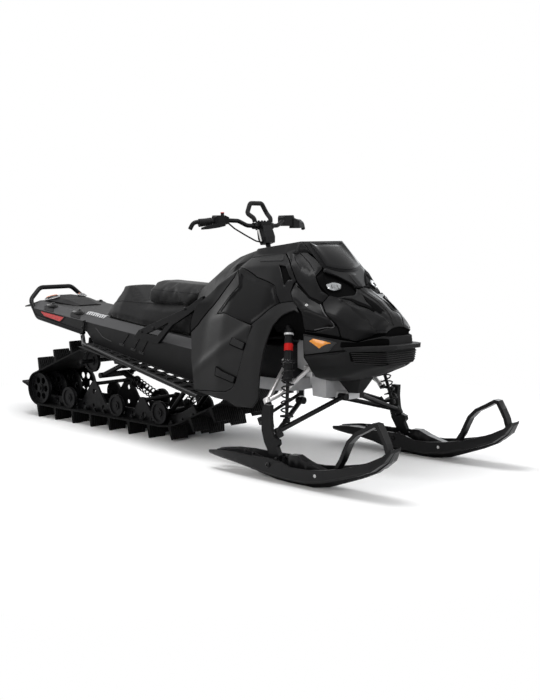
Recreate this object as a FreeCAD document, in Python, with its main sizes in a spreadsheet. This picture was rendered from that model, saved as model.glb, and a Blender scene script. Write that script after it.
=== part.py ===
import FreeCAD, Part
import Sketcher
import math
import os

# Mountain snowmobile: long-track chassis, two steered skis, moulded cowling and a raised handlebar.
# +X points forward, +Y to the rider's left, +Z up. The origin lies on the snow under the middle.

Vec = FreeCAD.Vector
doc = FreeCAD.newDocument("snowmobile")


# Driving dimensions, in millimetres and degrees
SIZES = {
    # Track, its wheels and the loop that they carry
    "track_width": 406.0,
    "belt_thickness": 8.0,
    "lug_height": 76.0,
    "lug_rows": 44.0,
    "lug_base": 24.0,
    "lug_tip": 12.0,
    "side_lug_inner": 78.0,
    "centre_lug_half": 70.0,
    "rear_idler_x": -1411.0,
    "rear_idler_radius": 97.0,
    "rear_idler_width": 24.0,
    "front_arc_x": -232.0,
    "front_arc_radius": 438.0,
    "driver_x": 235.0,
    "driver_z": 350.0,
    "driver_radius": 96.0,
    "sprocket_width": 26.0,
    "sprocket_y": 60.0,
    "upper_idler_x": -936.0,
    "upper_idler_z": 385.0,
    "upper_idler_radius": 68.0,
    "upper_idler_y": 120.0,
    "axle_radius": 12.0,
    "bogie_radius": 65.0,
    "bogie_width": 20.0,
    "inner_wheel_y": 60.0,
    "outer_wheel_y": 172.0,
    # Slide rails and the arms that hang them from the tunnel
    "rail_y": 130.0,
    "rail_thickness": 12.0,
    "rail_depth": 56.0,
    "slider_gap": 0.3,
    "rail_rear_x": -1452.0,
    "rail_hole_radius": 15.0,
    "rear_truss_x": -907.0,
    "rear_truss_z": 265.0,
    "front_truss_x": -449.0,
    "front_truss_z": 213.0,
    "arm_radius": 14.0,
    "skid_arm_y": 100.0,
    "rear_arm_top_x": -560.0,
    "rear_arm_top_z": 424.0,
    "front_arm_foot_x": -235.0,
    "front_arm_foot_z": 150.0,
    "front_arm_top_x": 20.0,
    "front_arm_top_z": 418.0,
    "skid_spring_radius": 30.0,
    # Tunnel, boards and the tube round the rear
    "tunnel_half": 222.0,
    "tunnel_sheet": 3.0,
    "deck_half": 176.0,
    "deck_rise": 46.0,
    "shoulder_z": 542.0,
    "tunnel_slope": 0.1056,
    "tunnel_rear_x": -1400.0,
    "tunnel_front_x": 400.0,
    "side_step_x": -850.0,
    "board_z": 377.0,
    "board_slope": 0.165,
    "board_front_x": 330.0,
    "board_rear_x": -790.0,
    "board_front_half": 402.0,
    "board_rear_half": 288.0,
    "board_sheet": 4.0,
    "board_tube": 13.0,
    "hoop_radius": 14.0,
    "hoop_y": 215.0,
    "hoop_rear_x": -1366.0,
    "hoop_low_z": 635.0,
    "hoop_top_x": -1476.0,
    "hoop_top_z": 812.0,
    "hoop_top_y": 118.0,
    "flap_tip_x": -1651.0,
    "flap_tip_z": 685.0,
    # Seat, storage box and console
    "seat_rear_x": -386.0,
    "seat_front_x": 36.0,
    "seat_bottom_z": 757.0,
    "seat_top_z": 868.0,
    "seat_half": 136.0,
    "seat_gap": 0.3,
    "box_rear_x": -753.0,
    "box_top_z": 850.0,
    "box_half": 190.0,
    "brace_gap": 0.3,
    "brace_thickness": 22.0,
    # Cowling shells
    "shell": 4.0,
    "seam": 0.4,
    "cowl_half": 405.0,
    "cowl_top_z": 1106.0,
    "nose_front_x": 1303.0,
    "belly_front_x": 1318.0,
    "lip_front_x": 1362.0,
    "chin_z": 370.3,
    # Engine and bulkhead
    "engine_rear_x": 436.0,
    "engine_front_x": 760.0,
    "engine_half": 190.0,
    "engine_bottom_z": 372.0,
    "engine_top_z": 590.0,
    "bulkhead_half": 118.0,
    # Front suspension, upright and steering
    "kingpin_low_x": 943.0,
    "kingpin_low_y": 448.0,
    "kingpin_low_z": 224.0,
    "kingpin_top_x": 850.0,
    "kingpin_top_y": 425.0,
    "kingpin_top_z": 355.0,
    "knuckle_radius": 17.0,
    "knuckle_length": 26.0,
    "lug_gap": 0.3,
    "lug_thickness": 13.0,
    "upright_inner": 466.0,
    "upright_outer": 489.5,
    "tie_x": 830.0,
    "tie_y": 452.0,
    "tie_z": 268.0,
    "tie_inner_x": 815.0,
    "tie_inner_y": 150.0,
    "tie_inner_z": 362.0,
    "low_front_x": 1008.0,
    "low_front_y": 58.0,
    "low_front_z": 352.0,
    "low_rear_x": 780.0,
    "low_rear_y": 115.0,
    "low_rear_z": 318.0,
    "high_front_x": 930.0,
    "high_front_y": 214.0,
    "high_front_z": 499.0,
    "high_rear_x": 780.0,
    "high_rear_y": 212.0,
    "high_rear_z": 521.0,
    "wishbone_radius": 12.0,
    "upper_wishbone_radius": 11.0,
    "tie_radius": 8.0,
    "shock_top_x": 878.0,
    "shock_top_y": 300.0,
    "shock_top_z": 697.0,
    "shock_low_y": 398.0,
    "shock_body_radius": 21.0,
    "shock_spring_radius": 28.0,
    "spring_wire": 8.0,
    # Skis
    "ski_y": 460.0,
    "ski_bolt_x": 963.0,
    "ski_bolt_z": 81.0,
    "ski_half": 74.0,
    "ski_wall": 11.0,
    "ski_tail_x": 521.0,
    "ski_tip_x": 1651.0,
    "saddle_gap": 1.0,
    "foot_half": 30.0,
    "loop_thickness": 18.0,
    "loop_half": 20.0,
    # Handlebar
    "clamp_x": 414.0,
    "clamp_z": 1182.0,
    "post_low_x": 582.5,
    "post_low_z": 610.0,
    "post_radius": 13.0,
    "bar_radius": 11.0,
    "bar_half": 415.0,
    "grip_radius": 16.0,
    "strap_radius": 12.0,
    "strap_top_z": 1314.0,
    "strap_half": 72.0,
    "arm_bow": 17.0,
    "bow_radius": 160.0,
    "cable_radius": 4.0,
    "cable_bend": 60.0,
    "cable_room": 0.1,
    "fit": 0.3,
}

sheet = doc.addObject("Spreadsheet::Sheet", "dims")
for row, (alias, number) in enumerate(SIZES.items(), start=1):
    sheet.set(f"A{row}", alias)
    sheet.set(f"B{row}", str(number))
    sheet.setAlias(f"B{row}", alias)
doc.recompute()


class Size:
    """A number together with the sheet expression that it comes from."""

    def __init__(self, value, text):
        self.value = float(value)
        self.text = text

    def __add__(self, other):
        return Size(self.value + num(other), f"({self.text} + {text(other)})")

    def __radd__(self, other):
        return Size(num(other) + self.value, f"({text(other)} + {self.text})")

    def __sub__(self, other):
        return Size(self.value - num(other), f"({self.text} - {text(other)})")

    def __rsub__(self, other):
        return Size(num(other) - self.value, f"({text(other)} - {self.text})")

    def __mul__(self, other):
        return Size(self.value * num(other), f"({self.text} * {text(other)})")

    def __rmul__(self, other):
        return self * other

    def __truediv__(self, other):
        return Size(self.value / num(other), f"({self.text} / {text(other)})")

    def __neg__(self):
        return Size(-self.value, f"(0 - {self.text})")

    def __float__(self):
        return self.value


def num(value):
    """The plain number of a Size or a number."""
    return value.value if isinstance(value, Size) else float(value)


def text(value):
    """The sheet expression of a Size or a number."""
    return value.text if isinstance(value, Size) else f"{value:.6f}"


class Dims:
    """Named access to the cells of the sheet."""

    def __getattr__(self, name):
        return Size(float(sheet.get(name)), f"dims.{name}")


D = Dims()


def bind(obj, prop, value):
    """Set a length of an object and tie it to the sheet."""
    setattr(obj, prop, num(value))
    if isinstance(value, Size):
        obj.setExpression(prop, value.text)


def place(obj, x, y, z, axis=None, angle=0.0):
    """Put an object at x, y, z, each of them tied to the sheet, turned about one axis."""
    turn = FreeCAD.Rotation(axis or Vec(0, 0, 1), num(angle))
    obj.Placement = FreeCAD.Placement(Vec(num(x), num(y), num(z)), turn)
    for key, value in (("x", x), ("y", y), ("z", z)):
        if isinstance(value, Size):
            obj.setExpression(f"Placement.Base.{key}", value.text)
    if isinstance(angle, Size):
        obj.setExpression("Placement.Rotation.Angle", angle.text)
    return obj


def vec(x, y, z):
    return Vec(num(x), num(y), num(z))


# Part primitives and booleans

def box(name, x0, x1, y0, y1, z0, z1):
    obj = doc.addObject("Part::Box", name)
    bind(obj, "Length", x1 - x0)
    bind(obj, "Width", y1 - y0)
    bind(obj, "Height", z1 - z0)
    return place(obj, x0, y0, z0)


def rod_y(name, x, z, radius, y0, y1):
    """Round bar along Y."""
    obj = doc.addObject("Part::Cylinder", name)
    bind(obj, "Radius", radius)
    bind(obj, "Height", y1 - y0)
    return place(obj, x, y0, z, Vec(1, 0, 0), -90.0)


def rod_x(name, y, z, radius, x0, x1):
    """Round bar along X."""
    obj = doc.addObject("Part::Cylinder", name)
    bind(obj, "Radius", radius)
    bind(obj, "Height", x1 - x0)
    return place(obj, x0, y, z, Vec(0, 1, 0), 90.0)


def rod_z(name, x, y, radius, z0, z1):
    """Round bar along Z."""
    obj = doc.addObject("Part::Cylinder", name)
    bind(obj, "Radius", radius)
    bind(obj, "Height", z1 - z0)
    return place(obj, x, y, z0)


def rod(name, start, end, radius):
    """Round bar between two points in any direction."""
    along = end - start
    obj = doc.addObject("Part::Cylinder", name)
    bind(obj, "Radius", radius)
    obj.Height = along.Length
    obj.Placement = FreeCAD.Placement(start, FreeCAD.Rotation(Vec(0, 0, 1), along))
    return obj


def cone(name, start, end, radius_start, radius_end):
    """Round taper between two points."""
    along = end - start
    obj = doc.addObject("Part::Cone", name)
    bind(obj, "Radius1", radius_start)
    bind(obj, "Radius2", radius_end)
    obj.Height = along.Length
    obj.Placement = FreeCAD.Placement(start, FreeCAD.Rotation(Vec(0, 0, 1), along))
    return obj


def fuse(name, parts):
    obj = doc.addObject("Part::MultiFuse", name)
    obj.Shapes = parts
    return obj


def group(name, parts):
    """Like pieces that don't touch, kept together."""
    obj = doc.addObject("Part::Compound", name)
    obj.Links = parts
    return obj


def cut(name, base, tools):
    """Base less one tool, or less several tools joined first."""
    tool = tools[0] if len(tools) == 1 else fuse(name + "_tools", tools)
    obj = doc.addObject("Part::Cut", name)
    obj.Base = base
    obj.Tool = tool
    return obj


def common(name, first, second):
    obj = doc.addObject("Part::Common", name)
    obj.Base = first
    obj.Tool = second
    return obj


def mirrored(name, source):
    """The same piece on the other side of the machine."""
    obj = doc.addObject("Part::Mirroring", name)
    obj.Source = source
    obj.Normal = Vec(0, 1, 0)
    obj.Base = Vec(0, 0, 0)
    return obj


def feature(name, shape):
    obj = doc.addObject("Part::Feature", name)
    obj.Shape = shape
    return obj


def bent_wire(points, bend):
    """Straight runs between points, joined by tangent arcs of one bend radius or less."""
    edges = []
    here = points[0]
    for before, corner, after in zip(points, points[1:], points[2:]):
        back = (before - corner).normalize()
        ahead = (after - corner).normalize()
        half = back.getAngle(ahead) / 2
        reach = min(bend / math.tan(half), 0.45 * (before - corner).Length, 0.45 * (after - corner).Length)
        radius = reach * math.tan(half)
        start = corner + back * reach
        end = corner + ahead * reach
        middle = (back + ahead).normalize()
        peak = corner + middle * (radius / math.sin(half) - radius)
        if (start - here).Length > 1e-6:
            edges.append(Part.LineSegment(here, start).toShape())
        edges.append(Part.Arc(start, peak, end).toShape())
        here = end
    edges.append(Part.LineSegment(here, points[-1]).toShape())
    return Part.Wire(edges)


def tube(name, points, radius, bend=40.0):
    """Round bar swept along straight runs with rounded corners."""
    path = feature(name + "_path", bent_wire(points, bend))
    ring = doc.addObject("Part::Circle", name + "_section")
    bind(ring, "Radius", radius)
    ring.Placement = FreeCAD.Placement(points[0], FreeCAD.Rotation(Vec(0, 0, 1), points[1] - points[0]))
    obj = doc.addObject("Part::Sweep", name)
    obj.Sections = [ring]
    obj.Spine = (path, [])
    obj.Solid = True
    return obj


# PartDesign bodies with sketches on their own origin planes

def new_body(name):
    return doc.addObject("PartDesign::Body", name)


def sketch_on(owner, role, offset, name):
    """An empty sketch on one origin plane of a body, moved along that plane's normal."""
    plane = [item for item in owner.Origin.OriginFeatures if item.Role == role][0]
    sketch = owner.newObject("Sketcher::SketchObject", name)
    sketch.AttachmentSupport = (plane, [""])
    sketch.MapMode = "FlatFace"
    sketch.AttachmentOffset = FreeCAD.Placement(Vec(0, 0, num(offset)), FreeCAD.Rotation())
    if isinstance(offset, Size):
        sketch.setExpression("AttachmentOffset.Base.z", offset.text)
    return sketch


def hold(sketch, rules):
    """Add constraints in one go, each with the sheet expression of its value, if it has one."""
    indices = sketch.addConstraint([rule for rule, value in rules])
    for index, (rule, value) in zip(indices, rules):
        if isinstance(value, Size):
            sketch.setExpression(f"Constraints[{index}]", value.text)


def from_origin(kind, geometry, point, value):
    """A rule that holds one coordinate of a point at a value from the sheet."""
    return Sketcher.Constraint(kind, -1, 1, geometry, point, num(value)), value


def add_outline(sketch, points):
    """A closed outline of straight edges whose corners are tied to the sheet."""
    first = sketch.GeometryCount
    count = len(points)
    lines = [Part.LineSegment(vec(here[0], here[1], 0), vec(there[0], there[1], 0))
             for here, there in zip(points, points[1:] + points[:1])]
    sketch.addGeometry(lines, False)
    rules = []
    for index, point in enumerate(points):
        following = first + (index + 1) % count
        rules.append((Sketcher.Constraint("Coincident", first + index, 2, following, 1), None))
        rules.append(from_origin("DistanceX", first + index, 1, point[0]))
        rules.append(from_origin("DistanceY", first + index, 1, point[1]))
    hold(sketch, rules)


def add_circle(sketch, x, y, radius):
    """A round hole or disc tied to the sheet."""
    index = sketch.addGeometry(Part.Circle(vec(x, y, 0), Vec(0, 0, 1), num(radius)), False)
    hold(sketch, [
        from_origin("DistanceX", index, 3, x),
        from_origin("DistanceY", index, 3, y),
        (Sketcher.Constraint("Radius", index, num(radius)), radius),
    ])


ROLE_FOR = {"x": "YZ_Plane", "y": "XZ_Plane", "z": "XY_Plane"}


def plate(name, normal, points, low, high, holes=(), cutouts=()):
    """A flat piece: an outline with holes, padded between two planes across one axis."""
    owner = new_body(name)
    offset = -high if normal == "y" else low
    sketch = sketch_on(owner, ROLE_FOR[normal], offset, name + "_outline")
    add_outline(sketch, points)
    for outline in cutouts:
        add_outline(sketch, outline)
    for x, y, radius in holes:
        add_circle(sketch, x, y, radius)
    pad = owner.newObject("PartDesign::Pad", name + "_pad")
    pad.Profile = sketch
    bind(pad, "Length", high - low)
    return owner


def lofted(name, sections, ruled=True):
    """A solid through outlines of the same number of corners."""
    wires = [Part.makePolygon(points + points[:1]) for points in sections]
    return feature(name, Part.makeLoft(wires, True, ruled))


def wheel(name, x, y, z, radius, width, spokes, bore):
    """A moulded wheel: rim, dished web with round openings and a bored hub."""
    owner = new_body(name)
    profile = sketch_on(owner, "XY_Plane", 0.0, name + "_profile")
    half = width / 2
    rim = radius - 14.0
    hub = bore + 14.0
    add_outline(profile, [
        (-half, bore), (-half, hub), (-half / 3, hub), (-half / 3, rim), (-half, rim),
        (-half, radius), (half, radius), (half, rim), (half / 3, rim), (half / 3, hub),
        (half, hub), (half, bore),
    ])
    turned = owner.newObject("PartDesign::Revolution", name + "_turned")
    turned.Profile = profile
    turned.ReferenceAxis = (profile, ["H_Axis"])
    turned.Angle = 360.0
    if spokes:
        ring = sketch_on(owner, "YZ_Plane", 0.0, name + "_opening")
        add_circle(ring, (rim + hub) / 2, 0.0, (rim - hub) * 0.36)
        pocket = owner.newObject("PartDesign::Pocket", name + "_pocket")
        pocket.Profile = ring
        pocket.Type = 1
        pocket.Midplane = True
        turns = owner.newObject("PartDesign::PolarPattern", name + "_pattern")
        turns.Originals = [pocket]
        turns.Axis = (profile, ["H_Axis"])
        turns.Angle = 360.0
        turns.Occurrences = spokes
        owner.Tip = turns
    return place(owner, x, y, z, Vec(0, 0, 1), 90.0)


def spring(name, start, end, radius, wire, turns, steps=8):
    """A coil spring as a bar of six-sided section wound round the line from start to end."""
    along = end - start
    frame = FreeCAD.Rotation(Vec(0, 0, 1), along)
    height = along.Length - num(wire)
    count = int(turns * steps)
    sections = []
    for index in range(count + 1):
        angle = 2 * math.pi * index / steps
        level = num(wire) / 2 + height * index / count
        outward = Vec(math.cos(angle), math.sin(angle), 0)
        corners = []
        for corner in range(6):
            turn = math.pi * corner / 3
            reach = num(radius) + num(wire) / 2 * math.cos(turn)
            lift = level + num(wire) / 2 * math.sin(turn)
            corners.append(start + frame.multVec(outward * reach + Vec(0, 0, lift)))
        sections.append(corners)
    return lofted(name, sections)


# Belt loop round the wheels

def hull_tangents(circles):
    """Straight spans of a belt round circles given in the order in which it runs."""
    spans = []
    for (x0, z0, r0), (x1, z1, r1) in zip(circles, circles[1:] + circles[:1]):
        length = math.hypot(x1 - x0, z1 - z0)
        dx = (x1 - x0) / length
        dz = (z1 - z0) / length
        lean = (r0 - r1) / length
        side = math.sqrt(1 - lean * lean)
        nx = dx * lean + dz * side
        nz = dz * lean - dx * side
        spans.append(((x0 + nx * r0, z0 + nz * r0), (x1 + nx * r1, z1 + nz * r1)))
    return spans


def belt_runs(circles):
    """Spans and arcs in order: ('line', a, b) or ('arc', centre, radius, angle0, sweep)."""
    spans = hull_tangents(circles)
    runs = []
    for index, (start, end) in enumerate(spans):
        runs.append(("line", start, end))
        x, z, radius = circles[(index + 1) % len(circles)]
        leave = spans[(index + 1) % len(spans)][0]
        angle0 = math.atan2(end[1] - z, end[0] - x)
        angle1 = math.atan2(leave[1] - z, leave[0] - x)
        runs.append(("arc", (x, z), radius, angle0, (angle1 - angle0) % (2 * math.pi)))
    return runs


def run_length(run):
    if run[0] == "line":
        return math.dist(run[1], run[2])
    return run[2] * run[4]


def point_on(runs, distance):
    """Place and outward angle on the belt at a distance from its start."""
    for run in runs:
        length = run_length(run)
        if distance <= length:
            share = distance / length
            if run[0] == "line":
                (x0, z0), (x1, z1) = run[1], run[2]
                outward = math.atan2(z1 - z0, x1 - x0) - math.pi / 2
                return x0 + (x1 - x0) * share, z0 + (z1 - z0) * share, outward
            angle = run[3] + run[4] * share
            return run[1][0] + run[2] * math.cos(angle), run[1][1] + run[2] * math.sin(angle), angle
        distance -= length
    raise ValueError("distance beyond the belt")


def belt_face(runs, y):
    edges = []
    for run in runs:
        if run[0] == "line":
            edges.append(Part.LineSegment(vec(run[1][0], y, run[1][1]), vec(run[2][0], y, run[2][1])).toShape())
            continue
        (x, z), radius, angle, sweep = run[1], run[2], run[3], run[4]
        corners = []
        for share in (0.0, 0.5, 1.0):
            turn = angle + sweep * share
            corners.append(vec(x + radius * math.cos(turn), y, z + radius * math.sin(turn)))
        edges.append(Part.Arc(*corners).toShape())
    return Part.Face(Part.Wire(edges))


nodes = {}
track_half = D.track_width / 2
belt_bottom_z = D.lug_height
belt_inner_z = belt_bottom_z + D.belt_thickness
front_arc_z = belt_inner_z + D.front_arc_radius
rear_idler_z = belt_inner_z + D.rear_idler_radius

inner_circles = [
    (num(D.rear_idler_x), num(rear_idler_z), num(D.rear_idler_radius)),
    (num(D.front_arc_x), num(front_arc_z), num(D.front_arc_radius)),
    (num(D.driver_x), num(D.driver_z), num(D.driver_radius)),
    (num(D.upper_idler_x), num(D.upper_idler_z), num(D.upper_idler_radius)),
]
outer_circles = [(x, z, radius + num(D.belt_thickness)) for x, z, radius in inner_circles]
outer_runs = belt_runs(outer_circles)
outer_length = sum(run_length(run) for run in outer_runs)


def paddle(distance, y0, y1, sink=3.0):
    """One tapered lug standing on the belt across a stretch of its width."""
    x, z, angle = point_on(outer_runs, distance % outer_length)
    out = Vec(math.cos(angle), 0, math.sin(angle))
    along = Vec(-math.sin(angle), 0, math.cos(angle))
    across = Vec(0, 1, 0)
    foot = Vec(x, 0, z) - out * sink
    tip = Vec(x, 0, z) + out * num(D.lug_height)
    taper = 7.0
    rings = []
    for centre, thick, inset in ((foot, D.lug_base, 0.0), (tip, D.lug_tip, taper)):
        half = along * (num(thick) / 2)
        low = across * (y0 + inset)
        high = across * (y1 - inset)
        rings.append([centre - half + low, centre + half + low, centre + half + high, centre - half + high])
    wires = [Part.makePolygon(ring + ring[:1]) for ring in rings]
    return Part.makeLoft(wires, True, True)


def make_track():
    """The belt with its side and centre lugs as one closed loop."""
    half = num(track_half)
    outer = belt_face(outer_runs, -half).extrude(Vec(0, 2 * half, 0))
    inner = belt_face(belt_runs(inner_circles), -half - 1).extrude(Vec(0, 2 * half + 2, 0))
    belt = outer.cut(inner)
    rows = int(num(D.lug_rows))
    lugs = []
    for row in range(rows):
        distance = outer_length * row / rows
        if row % 2:
            lugs.append(paddle(distance, -num(D.centre_lug_half), num(D.centre_lug_half)))
        else:
            lugs.append(paddle(distance, -half, -num(D.side_lug_inner)))
            lugs.append(paddle(distance, num(D.side_lug_inner), half))
    return belt.fuse(lugs)


nodes["track"] = feature("track", make_track())


# Slide rails with their front bend, trusses and cross tubes
rail_bottom_z = belt_inner_z + D.slider_gap
rail_inner_radius = D.front_arc_radius - D.slider_gap


def rail_arc_point(radius, degrees):
    """A point of the rails' front bend."""
    turn = math.radians(degrees)
    return D.front_arc_x + radius * math.sin(turn), front_arc_z - radius * math.cos(turn)


def make_rail():
    """One rail in the plane across Y, bottom edge along the belt, bent up at the front."""
    owner = new_body("rail_right")
    sketch = sketch_on(owner, "XZ_Plane", D.rail_y - D.rail_thickness / 2, "rail_outline")
    top = rail_bottom_z + D.rail_depth
    bend = [rail_arc_point(rail_inner_radius, angle) for angle in (0, 6, 12, 18, 24, 30, 36)]
    back = [rail_arc_point(rail_inner_radius - D.rail_depth, angle) for angle in (36, 28, 20, 12, 4)]
    outline = [(D.rail_rear_x, rail_bottom_z + 26.0), (D.rail_rear_x + 34.0, rail_bottom_z)]
    outline += bend
    outline += back
    outline += [
        (D.front_truss_x + 70.0, top), (D.front_truss_x + 16.0, D.front_truss_z),
        (D.front_truss_x - 16.0, D.front_truss_z), (D.front_truss_x - 70.0, top),
        (D.rear_truss_x + 110.0, top), (D.rear_truss_x + 18.0, D.rear_truss_z),
        (D.rear_truss_x - 18.0, D.rear_truss_z), (D.rear_truss_x - 120.0, top),
        (D.rail_rear_x + 90.0, top), (D.rail_rear_x, top + 40.0),
    ]
    add_outline(sketch, outline)
    row_z = rail_bottom_z + D.rail_depth / 2
    for step in range(11):
        add_circle(sketch, -1290.0 + 95.0 * step, row_z, D.rail_hole_radius)
    add_circle(sketch, D.rear_truss_x, D.rear_truss_z - 62.0, D.rail_hole_radius)
    pad = owner.newObject("PartDesign::Pad", "rail_pad")
    pad.Profile = sketch
    bind(pad, "Length", D.rail_thickness)
    return owner


rail = make_rail()
truss_tube_z = D.rear_truss_z - 16.0
front_tube_z = D.front_truss_z - 16.0
cross_half = D.rail_y - D.rail_thickness / 2
rail_tubes = [
    rod_y("truss_tube_rear", D.rear_truss_x, truss_tube_z, 11.0, -cross_half, cross_half),
    rod_y("truss_tube_front", D.front_truss_x, front_tube_z, 11.0, -cross_half, cross_half),
]
nodes["slide_rails"] = fuse("slide_rails", [rail, mirrored("rail_left", rail)] + rail_tubes)


# Rear axle and the four rear wheels
rear_axle = cut(
    "rear_axle",
    rod_y("rear_axle_bar", D.rear_idler_x, rear_idler_z, D.axle_radius, -D.outer_wheel_y - 20.0, D.outer_wheel_y + 20.0),
    [box("rear_axle_slot_right", D.rear_idler_x - 20.0, D.rear_idler_x + 20.0,
         -D.rail_y - D.rail_thickness / 2 - 0.2, -D.rail_y + D.rail_thickness / 2 + 0.2,
         rear_idler_z - 20.0, rear_idler_z + 20.0),
     box("rear_axle_slot_left", D.rear_idler_x - 20.0, D.rear_idler_x + 20.0,
         D.rail_y - D.rail_thickness / 2 - 0.2, D.rail_y + D.rail_thickness / 2 + 0.2,
         rear_idler_z - 20.0, rear_idler_z + 20.0)],
)
rear_wheels = []
for label, y in (("a", -D.outer_wheel_y), ("b", -D.inner_wheel_y), ("c", D.inner_wheel_y), ("d", D.outer_wheel_y)):
    rear_wheels.append(wheel("rear_wheel_" + label, D.rear_idler_x, y, rear_idler_z, D.rear_idler_radius - 0.3,
                             D.rear_idler_width, 6, D.axle_radius))
nodes["rear_wheels"] = fuse("rear_wheels", rear_wheels + [rear_axle])

# Bogie wheels on short axles outside the rails
bogie_z = belt_inner_z + D.bogie_radius + 0.3
bogies = []
for index, x in enumerate((-1110.0, -640.0, -250.0)):
    for label, side in (("right", -1), ("left", 1)):
        name = f"bogie_{index}_{label}"
        y = D.outer_wheel_y * side
        disc = wheel(name, D.front_arc_x + (x - num(D.front_arc_x)), y, bogie_z, D.bogie_radius, D.bogie_width, 0, D.axle_radius - 2.0)
        rail_face = (D.rail_y + D.rail_thickness / 2) * side
        far = (D.outer_wheel_y + D.bogie_width / 2 + 4.0) * side
        low, high = (far, rail_face) if side < 0 else (rail_face, far)
        stub = rod_y(name + "_stub", D.front_arc_x + (x - num(D.front_arc_x)), bogie_z, D.axle_radius - 2.0, low, high)
        bogies.append(fuse(name + "_set", [disc, stub]))
nodes["bogie_wheels"] = group("bogie_wheels", bogies)

# Upper wheels that hold the belt's return run, on one axle
uppers = [rod_y("upper_axle", D.upper_idler_x, D.upper_idler_z, D.axle_radius, -D.tunnel_half + 12.0, D.tunnel_half - 12.0)]
for label, y in (("right", -D.upper_idler_y), ("left", D.upper_idler_y)):
    uppers.append(wheel("upper_wheel_" + label, D.upper_idler_x, y, D.upper_idler_z, D.upper_idler_radius - 0.3,
                        D.bogie_width, 0, D.axle_radius))
nodes["upper_wheels"] = fuse("upper_wheels", uppers)

# Drive axle with its two toothed sprockets
drivers = [rod_y("driver_bar", D.driver_x, D.driver_z, D.axle_radius + 4.0, -D.tunnel_half + D.tunnel_sheet + 0.3,
                 D.tunnel_half - D.tunnel_sheet - 0.3)]
for label, y in (("right", -D.sprocket_y), ("left", D.sprocket_y)):
    drivers.append(wheel("sprocket_" + label, D.driver_x, y, D.driver_z, D.driver_radius - 0.3,
                         D.sprocket_width, 8, D.axle_radius + 4.0))
nodes["drive_axle"] = fuse("drive_axle", drivers)


def arm_pair(name, low, high, radius, cross_half_low, cross_half_high):
    """Two side tubes joined by cross tubes at both ends."""
    parts = []
    for label, side in (("right", -1), ("left", 1)):
        start = Vec(low[0], side * num(D.skid_arm_y), low[1])
        end = Vec(high[0], side * num(D.skid_arm_y), high[1])
        parts.append(rod(f"{name}_{label}", start, end, radius))
    parts.append(rod_y(name + "_low", low[0], low[1], radius + 3.0, -cross_half_low, cross_half_low))
    parts.append(rod_y(name + "_high", high[0], high[1], radius + 3.0, -cross_half_high, cross_half_high))
    return fuse(name, parts)


inner_rail_face = D.rail_y - D.rail_thickness / 2 - 0.3
tunnel_inner = D.tunnel_half - D.tunnel_sheet - 0.3
rear_arm_foot = (-862.0, 302.0)
rear_arm_top = (num(D.rear_arm_top_x), num(D.rear_arm_top_z))
nodes["rear_skid_arm"] = arm_pair("rear_skid_arm", rear_arm_foot, rear_arm_top, D.arm_radius,
                                  inner_rail_face, tunnel_inner)
nodes["front_skid_arm"] = arm_pair("front_skid_arm", (num(D.front_arm_foot_x), num(D.front_arm_foot_z)),
                                   (num(D.front_arm_top_x), num(D.front_arm_top_z)),
                                   D.arm_radius, inner_rail_face, tunnel_inner)


def coil_over(name, low, high, body_radius, spring_radius, wire, turns):
    """A damper: rod, body, two spring seats and eyes, with its coil."""
    axis = (high - low).normalize()
    length = (high - low).Length
    eye = 13.0
    shaft = rod(name + "_shaft", low + axis * eye * 0.6, low + axis * length * 0.55, num(body_radius) * 0.4)
    body = rod(name + "_body", low + axis * length * 0.42, high - axis * eye * 0.6, body_radius)
    seat_low = rod(name + "_seat_low", low + axis * (eye + 4), low + axis * (eye + 11), spring_radius + wire / 2)
    seat_high = rod(name + "_seat_high", low + axis * length * 0.62, low + axis * (length * 0.62 + 8),
                    spring_radius + wire / 2)
    eyes = [rod_y(f"{name}_eye_{tag}", point.x, point.z, eye, point.y - 12, point.y + 12)
            for tag, point in (("low", low), ("high", high))]
    coil = spring(name + "_coil", low + axis * (eye + 10.5), low + axis * (length * 0.62 + 0.5), spring_radius, wire, turns)
    return fuse(name, [shaft, body, seat_low, seat_high, coil] + eyes)


front_arm_low = vec(D.front_arm_foot_x, 0.0, D.front_arm_foot_z)
front_arm_high = vec(D.front_arm_top_x, 0.0, D.front_arm_top_z)
front_arm_way = (front_arm_high - front_arm_low).normalize()
skid_shocks = [
    coil_over("rear_skid_shock", Vec(-473.4, 0, num(front_tube_z)), Vec(-790.0, 0, 318.0),
              D.shock_body_radius - 3.0, D.skid_spring_radius, D.spring_wire, 6),
    coil_over("front_skid_shock", front_arm_low + front_arm_way * 30.4, front_arm_high - front_arm_way * 30.4,
              D.shock_body_radius - 3.0, D.skid_spring_radius, D.spring_wire, 5),
]
nodes["skid_shocks"] = group("skid_shocks", skid_shocks)


# Tunnel: bent sheet over the track with bevelled shoulders

def shoulder_at(x):
    return D.shoulder_z - x * D.tunnel_slope


def board_at(x):
    return D.board_z - x * D.board_slope


def tunnel_section(x, shrink):
    """Outline across X, from the board line up over the deck."""
    side = D.tunnel_half - shrink
    deck = D.deck_half - shrink * 0.4
    low = board_at(x) - (0.0 if num(shrink) == 0 else 20.0)
    return [(-side, low), (-side, shoulder_at(x)), (-deck, shoulder_at(x) + D.deck_rise - shrink),
            (deck, shoulder_at(x) + D.deck_rise - shrink), (side, shoulder_at(x)), (side, low)]


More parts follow.
